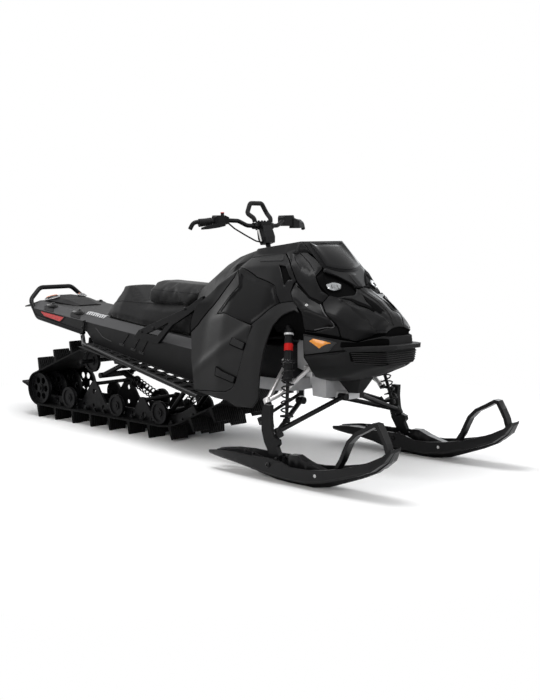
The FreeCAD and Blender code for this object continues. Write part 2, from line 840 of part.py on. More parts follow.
def make_tunnel():
    owner = new_body("tunnel")
    sketches = []
    for tag, shrink, over in (("outer", 0.0, 0.0), ("inner", D.tunnel_sheet, 10.0)):
        pair = []
        for end, x in (("rear", D.tunnel_rear_x - over), ("front", D.tunnel_front_x + over)):
            sketch = sketch_on(owner, "YZ_Plane", x, f"tunnel_{tag}_{end}")
            add_outline(sketch, tunnel_section(x, shrink if isinstance(shrink, Size) else 0.0))
            pair.append(sketch)
        sketches.append(pair)
    outer = owner.newObject("PartDesign::AdditiveLoft", "tunnel_outer")
    outer.Profile = sketches[0][0]
    outer.Sections = [sketches[0][1]]
    outer.Ruled = True
    inner = owner.newObject("PartDesign::SubtractiveLoft", "tunnel_inner")
    inner.Profile = sketches[1][0]
    inner.Sections = [sketches[1][1]]
    inner.Ruled = True
    side = sketch_on(owner, "XZ_Plane", 0.0, "tunnel_side_cut")
    hoop_top = D.hoop_low_z + D.hoop_radius + 0.3
    step_z = D.hoop_low_z + (D.hoop_rear_x - D.side_step_x) * 0.148 + D.hoop_radius
    add_outline(side, [
        (D.tunnel_rear_x - 20.0, 300.0), (D.side_step_x + 60.0, 300.0), (D.side_step_x + 60.0, board_at(D.side_step_x)),
        (D.side_step_x, step_z), (D.hoop_rear_x, hoop_top), (D.tunnel_rear_x - 20.0, hoop_top + 30.0),
    ])
    pocket = owner.newObject("PartDesign::Pocket", "tunnel_side_pocket")
    pocket.Profile = side
    pocket.Type = 1
    pocket.Midplane = True
    owner.Tip = pocket
    return owner


def skid_bracket(label, side):
    """Plate below one tunnel side that carries the rear arm's upper tube."""
    low, high = (-D.tunnel_half, -D.tunnel_half + D.tunnel_sheet) if side < 0 else (D.tunnel_half - D.tunnel_sheet, D.tunnel_half)
    x = D.rear_arm_top_x
    z = D.rear_arm_top_z
    outline = [(x - 30.0, z - 22.0), (x + 30.0, z - 22.0), (x + 70.0, board_at(x) + 20.0), (x - 70.0, board_at(x) + 30.0)]
    return plate(f"skid_bracket_{label}", "y", outline, low, high)


nodes["tunnel"] = fuse("tunnel_assembly", [make_tunnel(), skid_bracket("right", -1), skid_bracket("left", 1)])


# Running boards: perforated sheet with a tube along the outer edge

def make_board(label, side):
    """One board, drawn flat from its inner edge and tilted to the board line."""
    owner = new_body(f"board_sheet_{label}")
    sketch = sketch_on(owner, "XY_Plane", 0.0, f"board_{label}_outline")
    tilt = math.degrees(math.atan(num(D.board_slope)))
    scale = 1.0 / math.cos(math.radians(tilt))
    inner = (D.tunnel_half + 0.3) * side
    outline = [(D.board_rear_x * scale, inner), (D.board_front_x * scale, inner),
               (D.board_front_x * scale, D.board_front_half * side),
               (D.board_rear_x * scale, D.board_rear_half * side)]
    if side < 0:
        outline.reverse()
    add_outline(sketch, outline)
    span = num(D.board_front_x) - num(D.board_rear_x)
    for step in range(13):
        share = (step + 0.8) / 14.0
        x = num(D.board_rear_x) + span * share
        wide = num(D.board_rear_half) + (num(D.board_front_half) - num(D.board_rear_half)) * share
        room = wide - num(D.tunnel_half) - 30.0
        for row in range(2):
            low = num(D.tunnel_half) + 12.0 + room * row / 2
            high = low + room / 2 - 8.0
            corners = [(x * scale, side * low), ((x + 50.0) * scale, side * low),
                       ((x + 50.0) * scale, side * high), (x * scale, side * high)]
            if side < 0:
                corners.reverse()
            add_outline(sketch, corners)
    pad = owner.newObject("PartDesign::Pad", f"board_{label}_pad")
    pad.Profile = sketch
    bind(pad, "Length", D.board_sheet)
    place(owner, 0.0, 0.0, D.board_z, Vec(0, 1, 0), tilt)
    edge = [
        vec(D.board_front_x, D.board_front_half * side, board_at(D.board_front_x)),
        vec(D.board_rear_x, D.board_rear_half * side, board_at(D.board_rear_x)),
        vec(D.board_rear_x - 60.0, (D.tunnel_half + 26.0) * side, board_at(D.board_rear_x) + 18.0),
        vec(D.board_rear_x - 74.0, (D.tunnel_half + 20.0) * side, board_at(D.board_rear_x) + 44.0),
    ]
    edge_tube = tube(f"board_tube_{label}", edge, D.board_tube, 60.0)
    return fuse(f"running_board_{label}", [owner, edge_tube])


boards = []
for label, side in (("right", -1), ("left", 1)):
    boards.append(make_board(label, side))
nodes["running_boards"] = group("running_boards", boards)


# Tube round the rear: along both tunnel edges, up and across
def hoop_edge_z(x):
    return D.hoop_low_z + (D.hoop_rear_x - x) * 0.148


hoop_start_x = -890.0
hoop_side = [
    vec(hoop_start_x, D.hoop_y, num(D.hoop_low_z) + (num(D.hoop_rear_x) - hoop_start_x) * 0.148),
    vec(D.hoop_rear_x, D.hoop_y, D.hoop_low_z),
    vec(D.hoop_top_x + 16.0, D.hoop_y - 12.0, D.hoop_top_z - 74.0),
    vec(D.hoop_top_x, D.hoop_top_y, D.hoop_top_z),
]
hoop_points = hoop_side + [Vec(p.x, -p.y, p.z) for p in reversed(hoop_side)]
nodes["rear_bumper"] = tube("rear_bumper", hoop_points, D.hoop_radius, 60.0)

# Flap behind the tunnel and the lamp hump on the deck
flap_root_z = D.shoulder_z - D.tunnel_rear_x * D.tunnel_slope
nodes["snow_flap"] = lofted("snow_flap", [
    [vec(D.tunnel_rear_x - 0.3, -172, flap_root_z + 45), vec(D.tunnel_rear_x - 0.3, 172, flap_root_z + 45),
     vec(D.tunnel_rear_x - 0.3, 172, flap_root_z + 37), vec(D.tunnel_rear_x - 0.3, -172, flap_root_z + 37)],
    [vec(D.flap_tip_x, -120, D.flap_tip_z + 4), vec(D.flap_tip_x, 120, D.flap_tip_z + 4),
     vec(D.flap_tip_x, 120, D.flap_tip_z - 3), vec(D.flap_tip_x, -120, D.flap_tip_z - 3)],
])


def deck_at(x):
    return D.shoulder_z - x * D.tunnel_slope + D.deck_rise


def symmetric_section(x, half):
    """A closed outline across X from (y, z) points of its left half, top first."""
    left = [vec(x, y, z) for y, z in half]
    right = [Vec(p.x, -p.y, p.z) for p in reversed(left) if p.y > 1e-6]
    return left + right


def hump_section(x, top, half_top, half_low):
    low = deck_at(x) + 0.3
    return symmetric_section(x, [(half_top, top), (half_low, low + (num(top) - num(low)) * 0.35), (half_low, low)])


nodes["tail_housing"] = lofted("tail_housing", [
    hump_section(-1120.0, deck_at(-1120.0) + 6.0, 60.0, 90.0),
    hump_section(-1240.0, deck_at(-1240.0) + 24.0, 80.0, 140.0),
    hump_section(-1330.0, 758.0, 90.0, 160.0),
    hump_section(-1398.0, 764.0, 60.0, 130.0),
])


# Storage box and seat
def box_section(x, top, half_top, half_mid, half_low):
    low = deck_at(x) + 0.3
    mid = num(low) + (num(top) - num(low)) * 0.45
    return symmetric_section(x, [(half_top, top), (half_mid, mid), (half_low, low)])


seat_under = D.seat_bottom_z - D.seat_gap
nodes["storage_box"] = lofted("storage_box", [
    box_section(D.box_rear_x, deck_at(D.box_rear_x) + 24.0, 130.0, 148.0, 160.0),
    box_section(D.box_rear_x + 90.0, D.box_top_z - 6.0, 84.0, 150.0, D.box_half - 6.0),
    box_section(D.box_rear_x + 160.0, D.box_top_z, 90.0, 160.0, D.box_half),
    box_section(D.seat_rear_x - 50.0, seat_under + 6.0, 136.0, 165.0, D.box_half),
    box_section(D.seat_rear_x - 2.0, seat_under, 134.0, 165.0, D.box_half),
    box_section(D.seat_front_x - 110.0, seat_under - 4.0, 126.0, 140.0, 150.0),
    box_section(D.seat_front_x - 60.0, seat_under - 4.0, 120.0, 132.0, 140.0),
])


def seat_section(x, low, top, half_low, half_top):
    mid = low + (top - low) * 0.62
    return symmetric_section(x, [(half_top, top), (half_low + 4.0, mid), (half_low, low)])


nodes["seat"] = lofted("seat", [
    seat_section(D.seat_rear_x, D.seat_bottom_z, D.seat_bottom_z + 67.0, D.seat_half - 10.0, 60.0),
    seat_section(D.seat_rear_x + 20.0, D.seat_bottom_z, D.seat_top_z + 8.0, D.seat_half, 84.0),
    seat_section(D.seat_rear_x + 130.0, D.seat_bottom_z, D.seat_top_z, D.seat_half, 90.0),
    seat_section(D.seat_front_x - 96.0, D.seat_bottom_z, D.seat_top_z - 8.0, D.seat_half - 6.0, 84.0),
    seat_section(D.seat_front_x - 10.0, D.seat_bottom_z + 60.0, D.seat_top_z - 20.0, D.seat_half - 20.0, 70.0),
])


# Console over the tank, between seat and dash
def console_section(x, points):
    return symmetric_section(x, points)


console_rear_x = D.seat_front_x + D.seat_gap


def console_base(x):
    return deck_at(x) + 0.3


console_body = lofted("console_body", [
    console_section(console_rear_x, [(64, 866), (122, 832), (150, 750), (156, console_base(console_rear_x))]),
    console_section(145.0, [(84, 926), (160, 880), (190, 790), (166, console_base(145.0))]),
    console_section(233.0, [(90, 980), (176, 925), (214, 810), (168, console_base(233.0))]),
    console_section(330.0, [(92, 1024), (190, 940), (252, 850), (170, console_base(330.0))]),
    console_section(398.0, [(92, 1044), (186, 985), (250, 880), (170, console_base(398.0))]),
    console_section(479.6, [(104, 1062), (146, 1022), (232, 962), (190, 664)]),
])
post_room = box("post_room", 420.0, 490.0, -34.0, 34.0, 900.0, 1100.0)
nodes["console"] = cut("console", console_body, [post_room])


# Frame braces from the boards up to the console
def brace(label, side):
    inner = D.tunnel_half + D.brace_gap
    low, high = (-inner - D.brace_thickness, -inner) if side < 0 else (inner, inner + D.brace_thickness)
    outline = [(-383.0, 570.0), (-172.0, 548.0), (-95.0, 617.0), (-42.0, 660.0), (83.0, 720.0), (206.0, 788.0),
               (198.0, 822.0), (84.0, 760.0), (-334.0, 615.0)]
    hole = [(-270.0, 598.0), (-178.0, 590.0), (-80.0, 660.0), (-76.0, 670.0)]
    return plate(f"frame_brace_{label}", "y", outline, low, high, cutouts=[hole])


nodes["frame_braces"] = group("frame_braces", [brace("right", -1), brace("left", 1)])


# Cowling: outlines across X whose corners follow the moulded creases

def inset(points, depth):
    """Move an open outline inwards; its first corner stays on the middle plane."""
    count = len(points)
    moved = []
    for index, (y, z) in enumerate(points):
        normals = []
        for a, b in ((index - 1, index), (index, index + 1)):
            if a < 0 or b >= count:
                continue
            dy = points[b][0] - points[a][0]
            dz = points[b][1] - points[a][1]
            length = math.hypot(dy, dz)
            if length > 1e-9:
                normals.append((dz / length, -dy / length))
        ny = sum(n[0] for n in normals) / len(normals)
        nz = sum(n[1] for n in normals) / len(normals)
        scale = ny * ny + nz * nz
        scale = max(scale, 0.35)
        shift_y = 0.0 if index == 0 and abs(y) < 1e-9 else ny / scale * depth
        moved.append((y + shift_y, z + nz / scale * depth))
    return moved


def stretched(stations, before, after):
    """The same outlines with the end ones carried on past both ends."""
    (x0, p0), (x1, p1) = stations[0], stations[1]
    (y0, q0), (y1, q1) = stations[-2], stations[-1]
    head = [(a[0] + (a[0] - b[0]) * before / (x1 - x0), a[1] + (a[1] - b[1]) * before / (x1 - x0))
            for a, b in zip(p0, p1)]
    tail = [(b[0] + (b[0] - a[0]) * after / (y1 - y0), b[1] + (b[1] - a[1]) * after / (y1 - y0))
            for a, b in zip(q0, q1)]
    return [(x0 - before, head)] + stations[1:-1] + [(y1 + after, tail)]


def half_loft(stations, floor_drop):
    """Right half of a hull: outlines closed through the middle plane, drawn on the -Y side."""
    sections = []
    for x, points in stations:
        corners = [Vec(x, -y, z) for y, z in points]
        last = corners[-1]
        first = corners[0]
        corners.append(Vec(x, last.y, last.z - floor_drop))
        corners.append(Vec(x, 60.0, last.z - floor_drop))
        corners.append(Vec(x, 60.0, first.z))
        sections.append(corners)
    wires = [Part.makePolygon(corners + corners[:1]) for corners in sections]
    return Part.makeLoft(wires, True, True)


def skin(stations, shallow, deep):
    """The layer of a hull between two depths under its outer face."""
    outer = half_loft([(x, inset(p, shallow) if shallow else p) for x, p in stations], 0.0)
    inner_stations = stretched([(x, inset(p, deep)) for x, p in stations], 12.0, 12.0)
    inner = half_loft(inner_stations, 30.0)
    return outer.cut(inner)


def side_prism(points, y0, y1):
    """A prism across Y over a side outline."""
    corners = [vec(x, y0, z) for x, z in points]
    return Part.Face(Part.makePolygon(corners + corners[:1])).extrude(Vec(0, y1 - y0, 0))


shell = num(D.shell)
wide = num(D.cowl_half) - 405.0
top = num(D.cowl_top_z) - 1106.0
cabin = [
    (186.0, [(0, 960), (100, 930), (190, 882), (252, 850), (298, 792), (320, 705), (372 + wide, 500), (402 + wide, 330)]),
    (330.0, [(0, 1030), (100, 988), (200, 932), (270, 880), (300, 800), (330, 700), (380 + wide, 500), (405 + wide, 320)]),
    (480.0, [(0, 1066 + top), (112, 1068 + top), (152, 1029), (240, 972), (280, 892), (360, 746), (402 + wide, 520), (410 + wide, 300)]),
    (740.0, [(0, 1096 + top), (145, 1097 + top), (182, 1052), (248, 988), (304, 884), (375, 730), (396 + wide, 560), (396 + wide, 290)]),
    (817.0, [(0, 1106 + top), (153, 1106 + top), (188, 1060), (245, 986), (310, 868), (362, 750), (380 + wide, 600), (380 + wide, 300)]),
    (960.0, [(0, 1030), (140, 985), (196, 942), (232, 880), (282, 806), (312, 776), (318, 700), (318, 300)]),
]
cabin_skin = skin(cabin, 0.0, shell)
seam = num(D.seam)
panel_outline = [
    (190.0, 705.0), (235.0, 508.0), (306.0, 356.0), (420.0, 336.0), (548.0, 324.0), (607.0, 300.0), (717.0, 302.0),
    (754.0, 348.0), (742.0, 379.0), (722.0, 560.0), (722.0, 700.0), (760.0, 752.0), (855.0, 797.0), (952.0, 772.0),
    (956.0, 925.0), (956.0, 988.0), (905.0, 1036.0 - seam), (870.0, 1054.0 - seam), (480.0, 1024.0 - seam), (430.0, 968.0), (358.0, 900.0),
    (208.0, 772.0),
]
panel_slot = [(748.0, 985.0), (835.0, 925.0), (842.0, 905.0), (790.0, 925.0), (752.0, 962.0)]
panel_recess = [(475.0, 966.0), (502.0, 892.0), (450.0, 752.0), (700.0, 716.0), (853.0, 818.0), (806.0, 866.0), (640.0, 884.0)]
panel_solid = cabin_skin.common(side_prism(panel_outline, -500.0, -150.0)).cut(side_prism(panel_slot, -500.0, -150.0))
insert_solid = skin(cabin, 1.5, shell).common(side_prism(panel_recess, -500.0, -150.0))
panel_open = panel_solid.cut(side_prism([(x, z) for x, z in panel_recess], -500.0, -150.0))
side_panel = feature("side_panel_right", panel_open)
side_insert = feature("side_insert_right", insert_solid)
nodes["side_panel_right"] = side_panel
nodes["side_panel_left"] = mirrored("side_panel_left", side_panel)
nodes["side_inserts"] = group("side_inserts", [side_insert, mirrored("side_insert_left", side_insert)])

# Top of the hood behind the windshield: the band round the dash
band_outline = [(480.0, 1200.0), (480.0, 1024.0), (870.0, 1054.0), (905.0, 1036.0), (838.0, 1122.0), (838.0, 1200.0)]
shield_clear = Part.makeBox(200.0, 292.8, 400.0, Vec(836.6, -146.4, 900.0))
band_half = cabin_skin.common(side_prism(band_outline, -500.0, 0.0)).cut(shield_clear)
band_object = feature("hood_band_right", band_half)
nodes["hood_top"] = fuse("hood_top", [band_object, mirrored("hood_band_left", band_object)])


# Nose: hood from the windshield's foot to the tip
nose = [
    (905.0, [(0, 1045), (139, 1024), (192, 985), (245, 880), (292, 800), (306, 790), (300, 720), (294, 676)]),
    (962.0, [(0, 992), (138, 977), (200, 937), (240, 860), (270, 806), (300, 783), (297, 720), (292, 674)]),
    (1108.0, [(0, 862), (50, 858), (125, 826), (180, 795), (235, 760), (233, 738), (224, 715), (215, 652)]),
    (1187.0, [(0, 822), (50, 815), (98, 790), (150, 742), (190, 700), (187, 680), (180, 660), (170, 639)]),
    (1260.0, [(0, 765), (45, 760), (82, 733), (115, 710), (140, 690), (137, 683), (131, 676), (122, 668)]),
    (num(D.nose_front_x), [(0, 705), (40, 702), (76, 690), (84, 686), (92, 682), (94, 679), (95, 676), (95, 672)]),
]
nose_skin = skin(nose, 0.0, shell)
lamp_outline = [(200.0, 932.0), (150.0, 968.0), (104.0, 905.0), (62.0, 850.0), (84.0, 824.0), (150.0, 868.0)]


def front_prism(points, x0, x1):
    """A prism along X over a front outline, on the -Y side."""
    corners = [vec(x0, -y, z) for y, z in points]
    return Part.Face(Part.makePolygon(corners + corners[:1])).extrude(Vec(x1 - x0, 0, 0))




pane_thickness = 5.0
pane_half = 146.0
pane_side = {"top_x": 842.0, "top_z": 1096.0, "foot_x": 955.0, "foot_z": 984.0}
pane_middle = {"top_x": 850.0, "top_z": 1099.0, "foot_x": 1003.0, "foot_z": 958.0}


def pane_slice(y, place_of):
    """A slice of the windshield along the machine."""
    top_x, top_z = place_of["top_x"], place_of["top_z"]
    foot_x, foot_z = place_of["foot_x"], place_of["foot_z"]
    back, down = pane_thickness, pane_thickness * 0.6
    return [Vec(top_x, y, top_z), Vec(foot_x, y, foot_z), Vec(foot_x - back, y, foot_z - down), Vec(top_x - back, y, top_z - down)]


pane_foot_room = Part.Face(Part.makePolygon([
    Vec(850.0, -pane_half - seam, 900.0), Vec(pane_side["foot_x"] + seam, -pane_half - seam, 900.0),
    Vec(pane_middle["foot_x"] + seam, 1.0, 900.0), Vec(850.0, 1.0, 900.0), Vec(850.0, -pane_half - seam, 900.0),
])).extrude(Vec(0, 0, 300.0))
nose_cap = half_loft([(1290.0, inset(nose[-1][1], 0.5)), (1302.0, inset(nose[-1][1], 0.5))], 0.0)
hood_half = nose_skin.fuse(nose_cap)
hood_window = [(956.0 + seam, 600.0), (956.0 + seam, 1100.0), (1400.0, 1100.0), (1400.0, 600.0)]
hood_half = hood_half.common(side_prism(hood_window, -400.0, 0.0))
hood_half = hood_half.cut(front_prism(lamp_outline, 900.0, 1200.0)).cut(pane_foot_room)
hood_object = feature("hood_right", hood_half)
nodes["hood"] = fuse("hood", [hood_object, mirrored("hood_left", hood_object)])


def shrunk(points, gap):
    """A closed outline moved inwards by a gap."""
    count = len(points)
    turn = sum(points[i][0] * points[(i + 1) % count][1] - points[(i + 1) % count][0] * points[i][1] for i in range(count))
    sign = 1.0 if turn > 0 else -1.0
    moved = []
    for index in range(count):
        (x0, z0), (x1, z1), (x2, z2) = points[index - 1], points[index], points[(index + 1) % count]
        a = math.hypot(x1 - x0, z1 - z0)
        b = math.hypot(x2 - x1, z2 - z1)
        n0 = (-(z1 - z0) / a * sign, (x1 - x0) / a * sign)
        n1 = (-(z2 - z1) / b * sign, (x2 - x1) / b * sign)
        scale = gap / (1.0 + n0[0] * n1[0] + n0[1] * n1[1])
        moved.append((x1 + (n0[0] + n1[0]) * scale, z1 + (n0[1] + n1[1]) * scale))
    return moved


lamp_skin = skin(nose, 1.5, 9.0)
lamp_half = lamp_skin.common(front_prism(shrunk(lamp_outline, seam), 900.0, 1200.0))
lamp_half = lamp_half.common(side_prism(hood_window, -400.0, 0.0)).cut(pane_foot_room)
lamp_object = feature("headlight_right", lamp_half)
nodes["headlights"] = group("headlights", [lamp_object, mirrored("headlight_left", lamp_object)])

nodes["windshield"] = lofted("windshield", [
    pane_slice(-pane_half, pane_side), pane_slice(0.0, pane_middle), pane_slice(pane_half, pane_side),
])

# Belly pan under the nose, with the recess under the hood, the bumper lip and the chin
belly = [
    (960.0, [(0, 430), (100, 432), (205, 458), (288, 560), (291, 620), (290.5, 650), (290, 672)]),
    (1060.0, [(0, 438), (100, 440), (178, 466), (258, 580), (260, 616), (255, 640), (246, 657)]),
    (1130.0, [(0, 452), (80, 454), (158, 482), (214, 594), (210, 604), (202, 620), (200, 645)]),
    (1187.0, [(0, 472), (72, 474), (142, 504), (188, 596), (183, 605), (166, 614), (164, 636)]),
    (1230.0, [(0, 490), (66, 492), (128, 520), (165, 598), (160, 606), (138, 613), (134, 652)]),
    (1290.0, [(0, 512), (60, 514), (108, 532), (130, 600), (124, 606), (104, 612), (98, 668)]),
    (num(D.belly_front_x), [(0, 526), (54, 528), (94, 545), (108, 600), (102, 606), (86, 612), (80, 664)]),
]
lip = [
    (1119.0, 206.0, 596.0, 606.0), (1150.0, 208.0, 595.0, 614.0), (1230.0, 180.0, 597.0, 621.0),
    (1300.0, 143.0, 600.0, 625.0), (1345.0, 112.0, 604.0, 627.0), (num(D.lip_front_x), 84.0, 611.0, 626.0),
]
chin = [(985.0, 1115.0, 88.0, 452.0), (1022.0, 1068.0, 34.0, num(D.chin_z))]


def belly_loft(stations, lift):
    sections = []
    for x, points in stations:
        left = [Vec(x, y, z) for y, z in points]
        high = left[-1]
        if lift:
            left.append(Vec(x, high.y, high.z + lift))
        right = [Vec(p.x, -p.y, p.z) for p in reversed(left) if p.y > 1e-6]
        sections.append(left + right)
    wires = [Part.makePolygon(corners + corners[:1]) for corners in sections]
    return Part.makeLoft(wires, True, True)


def belly_inset(points, depth):
    moved = inset([(y, -z) for y, z in points], depth)
    return [(y, -z) for y, z in moved]


lip_wires = []
for x, half, low, high in lip:
    corners = [Vec(x, -half, low), Vec(x, half, low), Vec(x, half + 3.0, high), Vec(x, -half - 3.0, high)]
    lip_wires.append(Part.makePolygon(corners + corners[:1]))
chin_wires = []
for rear, front, half, height in chin:
    corners = [Vec(rear, -half, height), Vec(front, -half * 0.6, height), Vec(front, half * 0.6, height), Vec(rear, half, height)]
    chin_wires.append(Part.makePolygon(corners + corners[:1]))
belly_outer = belly_loft(belly, 0.0)
belly_outer = belly_outer.fuse([Part.makeLoft(lip_wires, True, True), Part.makeLoft(chin_wires, True, True)])
belly_inner = belly_loft(stretched([(x, belly_inset(p, shell)) for x, p in belly[:-1]], 12.0, 20.0), 20.0)
nodes["belly_pan"] = feature("belly_pan", belly_outer.cut(belly_inner))

# Engine as one block
nodes["engine"] = box("engine", D.engine_rear_x, D.engine_front_x, -D.engine_half, D.engine_half,
                      D.engine_bottom_z, D.engine_top_z)


# Bulkhead casting behind the nose that carries the wishbones
bulkhead_outline = [
    (862.0, 350.0), (950.0, 345.0), (950.0, 520.0), (930.0, 640.0), (905.0, 712.0), (852.0, 712.0), (800.0, 640.0),
    (D.engine_front_x + 0.3, 600.0), (D.engine_front_x + 0.3, 480.0), (800.0, 470.0), (856.0, 430.0),
]
bulkhead_core = plate("bulkhead_core", "y", bulkhead_outline, -D.bulkhead_half, D.bulkhead_half,
                      cutouts=[[(840.0, 520.0), (900.0, 500.0), (895.0, 620.0), (840.0, 620.0)]])
member_y = D.tunnel_half - 14.5
member_z = D.engine_bottom_z
bulkhead_parts = [bulkhead_core, rod_y("shock_tube", D.shock_top_x, D.shock_top_z, 11.0,
                                       -D.shock_top_y + 13.2, D.shock_top_y - 13.2)]
bulkhead_parts.append(box("cross_member", D.engine_front_x + 2.0, D.engine_front_x + 30.0, -member_y - 12.0,
                          member_y + 12.0, member_z, member_z + 58.0))
bulkhead_parts.append(box("cross_tie", D.engine_front_x + 2.0, D.engine_front_x + 60.0, -60.0,
                          60.0, member_z + 20.0, member_z + 130.0))
bulkhead_parts.append(box("foot_bracket", 940.0, 1030.0, -39.7,
                          39.7, 338.0, D.chin_z - 0.3))
for label, side in (("right", -1), ("left", 1)):
    y0, y1 = (-member_y - 12.0, -member_y) if side < 0 else (member_y, member_y + 12.0)
    bulkhead_parts.append(box(f"side_member_{label}", D.tunnel_front_x + 0.3, D.engine_front_x + 30.0, y0, y1,
                              member_z, member_z + 58.0))
    bulkhead_parts.append(box(f"rear_tower_{label}", D.engine_front_x, D.engine_front_x + 40.0, y0, y1,
                              member_z + 50.0, D.high_rear_z - D.upper_wishbone_radius - 9.5))
    z0, z1 = (-216.0, -100.0) if side < 0 else (100.0, 216.0)
    bulkhead_parts.append(box(f"front_tower_{label}", 914.0, 948.0, z0,
                              z1, 460.0, D.high_front_z - D.upper_wishbone_radius - 6.6))
    z0, z1 = (-130.0, -100.0) if side < 0 else (100.0, 130.0)
    bulkhead_parts.append(box(f"low_bracket_{label}", D.engine_front_x + 4.0, D.engine_front_x + 30.0, z0,
                              z1, D.low_rear_z + D.wishbone_radius + 6.3, member_z + 10.0))
post_high = vec(D.clamp_x, 0.0, D.clamp_z)
post_foot = vec(D.post_low_x, 0.0, D.post_low_z)
post_line = (post_high - post_foot).normalize()
bulkhead_parts.append(rod("post_cup", post_foot - post_line * 10.3, post_foot - post_line * 0.3, D.post_radius + 3.0))
bulkhead_parts.append(box("post_bracket", D.post_low_x, 810.0, -12.0, 12.0,
                          D.engine_top_z + 4.0, D.engine_top_z + 13.0))
nodes["bulkhead"] = fuse("bulkhead", bulkhead_parts)


# Front suspension and steering, one side after the other
def side_vec(x, y, z, side):
    return Vec(num(x), side * num(y), num(z))


def kingpin(side):
    """Low point, top point and unit direction of the axis on which the upright turns."""
    low = side_vec(D.kingpin_low_x, D.kingpin_low_y, D.kingpin_low_z, side)
    high = side_vec(D.kingpin_top_x, D.kingpin_top_y, D.kingpin_top_z, side)
    axis = (high - low).normalize()
    return low, high, axis


knuckle_half = num(D.knuckle_length) / 2


# Share of the way from the frame to the knuckle, and the share of the bow's depth there
BOW = ((0.28, 0.45), (0.5, 1.0), (0.73, 0.85))


def wishbone(name, outer, axis, front, rear, radius, sag=None):
    """Two tubes that meet at the knuckle round the upright's axis, with bushes at the frame."""
    knuckle = rod(name + "_knuckle", outer - axis * knuckle_half, outer + axis * knuckle_half, D.knuckle_radius)
    front_leg = rod(name + "_front", front, outer, radius)
    if sag:
        run = outer - front
        bow = [front + run * share - Vec(0, 0, num(sag) * depth) for share, depth in BOW]
        front_leg = tube(name + "_front", [front] + bow + [outer], radius, num(D.bow_radius))
    tubes = [front_leg, rod(name + "_rear", rear, outer, radius)]
    bushes = [rod_x(f"{name}_bush_{tag}", point.y, point.z, radius + 6.0, point.x - 22.0, point.x + 22.0)
              for tag, point in (("front", front), ("rear", rear))]
    trim_low = rod(name + "_trim_low", outer - axis * (knuckle_half + 40), outer - axis * knuckle_half, 40.0)
    return cut(name, fuse(name + "_joined", [knuckle] + tubes + bushes), [trim_low])


lower_pair = []
upper_pair = []
for label, side in (("right", -1), ("left", 1)):
    low, high, axis = kingpin(side)
    low_front = side_vec(D.low_front_x, D.low_front_y, D.low_front_z, side)
    low_rear = side_vec(D.low_rear_x, D.low_rear_y, D.low_rear_z, side)
    lower_pair.append(wishbone(f"lower_wishbone_{label}", low, axis, low_front, low_rear, D.wishbone_radius))
    high_front = side_vec(D.high_front_x, D.high_front_y, D.high_front_z, side)
    high_rear = side_vec(D.high_rear_x, D.high_rear_y, D.high_rear_z, side)
    upper_pair.append(wishbone(f"upper_wishbone_{label}", high, axis, high_front, high_rear,
                               D.upper_wishbone_radius, D.arm_bow))
nodes["lower_wishbones"] = group("lower_wishbones", lower_pair)
nodes["upper_wishbones"] = group("upper_wishbones", upper_pair)


def upright(label, side):
    """Forged spindle: lugs under both knuckles, a curved column outboard of them, a steering arm and a foot."""
    low, high, axis = kingpin(side)
    gap = knuckle_half + num(D.lug_gap)
    thick = num(D.lug_thickness)
    name = f"spindle_{label}"
    top_face = high - axis * gap
    low_face = low - axis * gap
    column_y = (num(D.upright_inner) + num(D.upright_outer)) / 2
    bolt = side_vec(D.ski_bolt_x, D.ski_y, D.ski_bolt_z, side)
    outline = [
        (892.0, 350.0), (878.0, 318.0), (874.0, 284.0), (876.0, 225.0), (892.0, 172.0), (926.0, 118.0),
        (D.ski_bolt_x - 22.0, D.ski_bolt_z - 6.0), (D.ski_bolt_x + 20.0, D.ski_bolt_z - 6.0), (992.0, 122.0), (973.0, 158.0),
        (986.0, 172.0), (982.0, 192.0), (952.0, 202.0), (938.0, 232.0), (931.0, 290.0), (934.0, 350.0),
    ]
    faces = (D.upright_inner, D.upright_outer) if side > 0 else (-D.upright_outer, -D.upright_inner)
    column = plate(name + "_column", "y", outline, faces[0], faces[1])
    parts = [
        column,
        rod(name + "_top_lug", top_face - axis * thick, top_face, D.knuckle_radius),
        rod(name + "_low_lug", low_face - axis * thick, low_face, D.knuckle_radius + 4.0),
        cone(name + "_top_bridge", top_face - axis * thick * 0.5, Vec(902.0, side * column_y, 325.0), 6.0, 11.0),
        cone(name + "_low_bridge", low_face - axis * thick * 0.5, Vec(925.0, side * column_y, 190.0), 6.0, 11.0),
    ]
    parts.append(rod_y(name + "_foot", bolt.x, bolt.z, 19.0, bolt.y - num(D.foot_half), bolt.y + num(D.foot_half)))
    arm_end = tie_point(side) - axis * 16.0
    parts.append(rod(name + "_arm", Vec(888.0, side * column_y, 262.0), arm_end, 9.0))
    parts.append(rod(name + "_arm_lug", arm_end - axis * 7, arm_end + axis * 7, 13.0))
    rooms = [
        rod_y(name + "_bore", bolt.x, bolt.z, 6.2, bolt.y - 60, bolt.y + 60),
        rod(name + "_low_room", low_face, low + axis * (gap + 14.0), 23.0),
        rod(name + "_tie_room", tie_point(side) - axis * 9.0, tie_point(side) + axis * 20.0, 22.0),
    ]
    return cut(name, fuse(name + "_cast", parts), rooms)


def tie_point(side):
    return side_vec(D.tie_x, D.tie_y, D.tie_z, side)


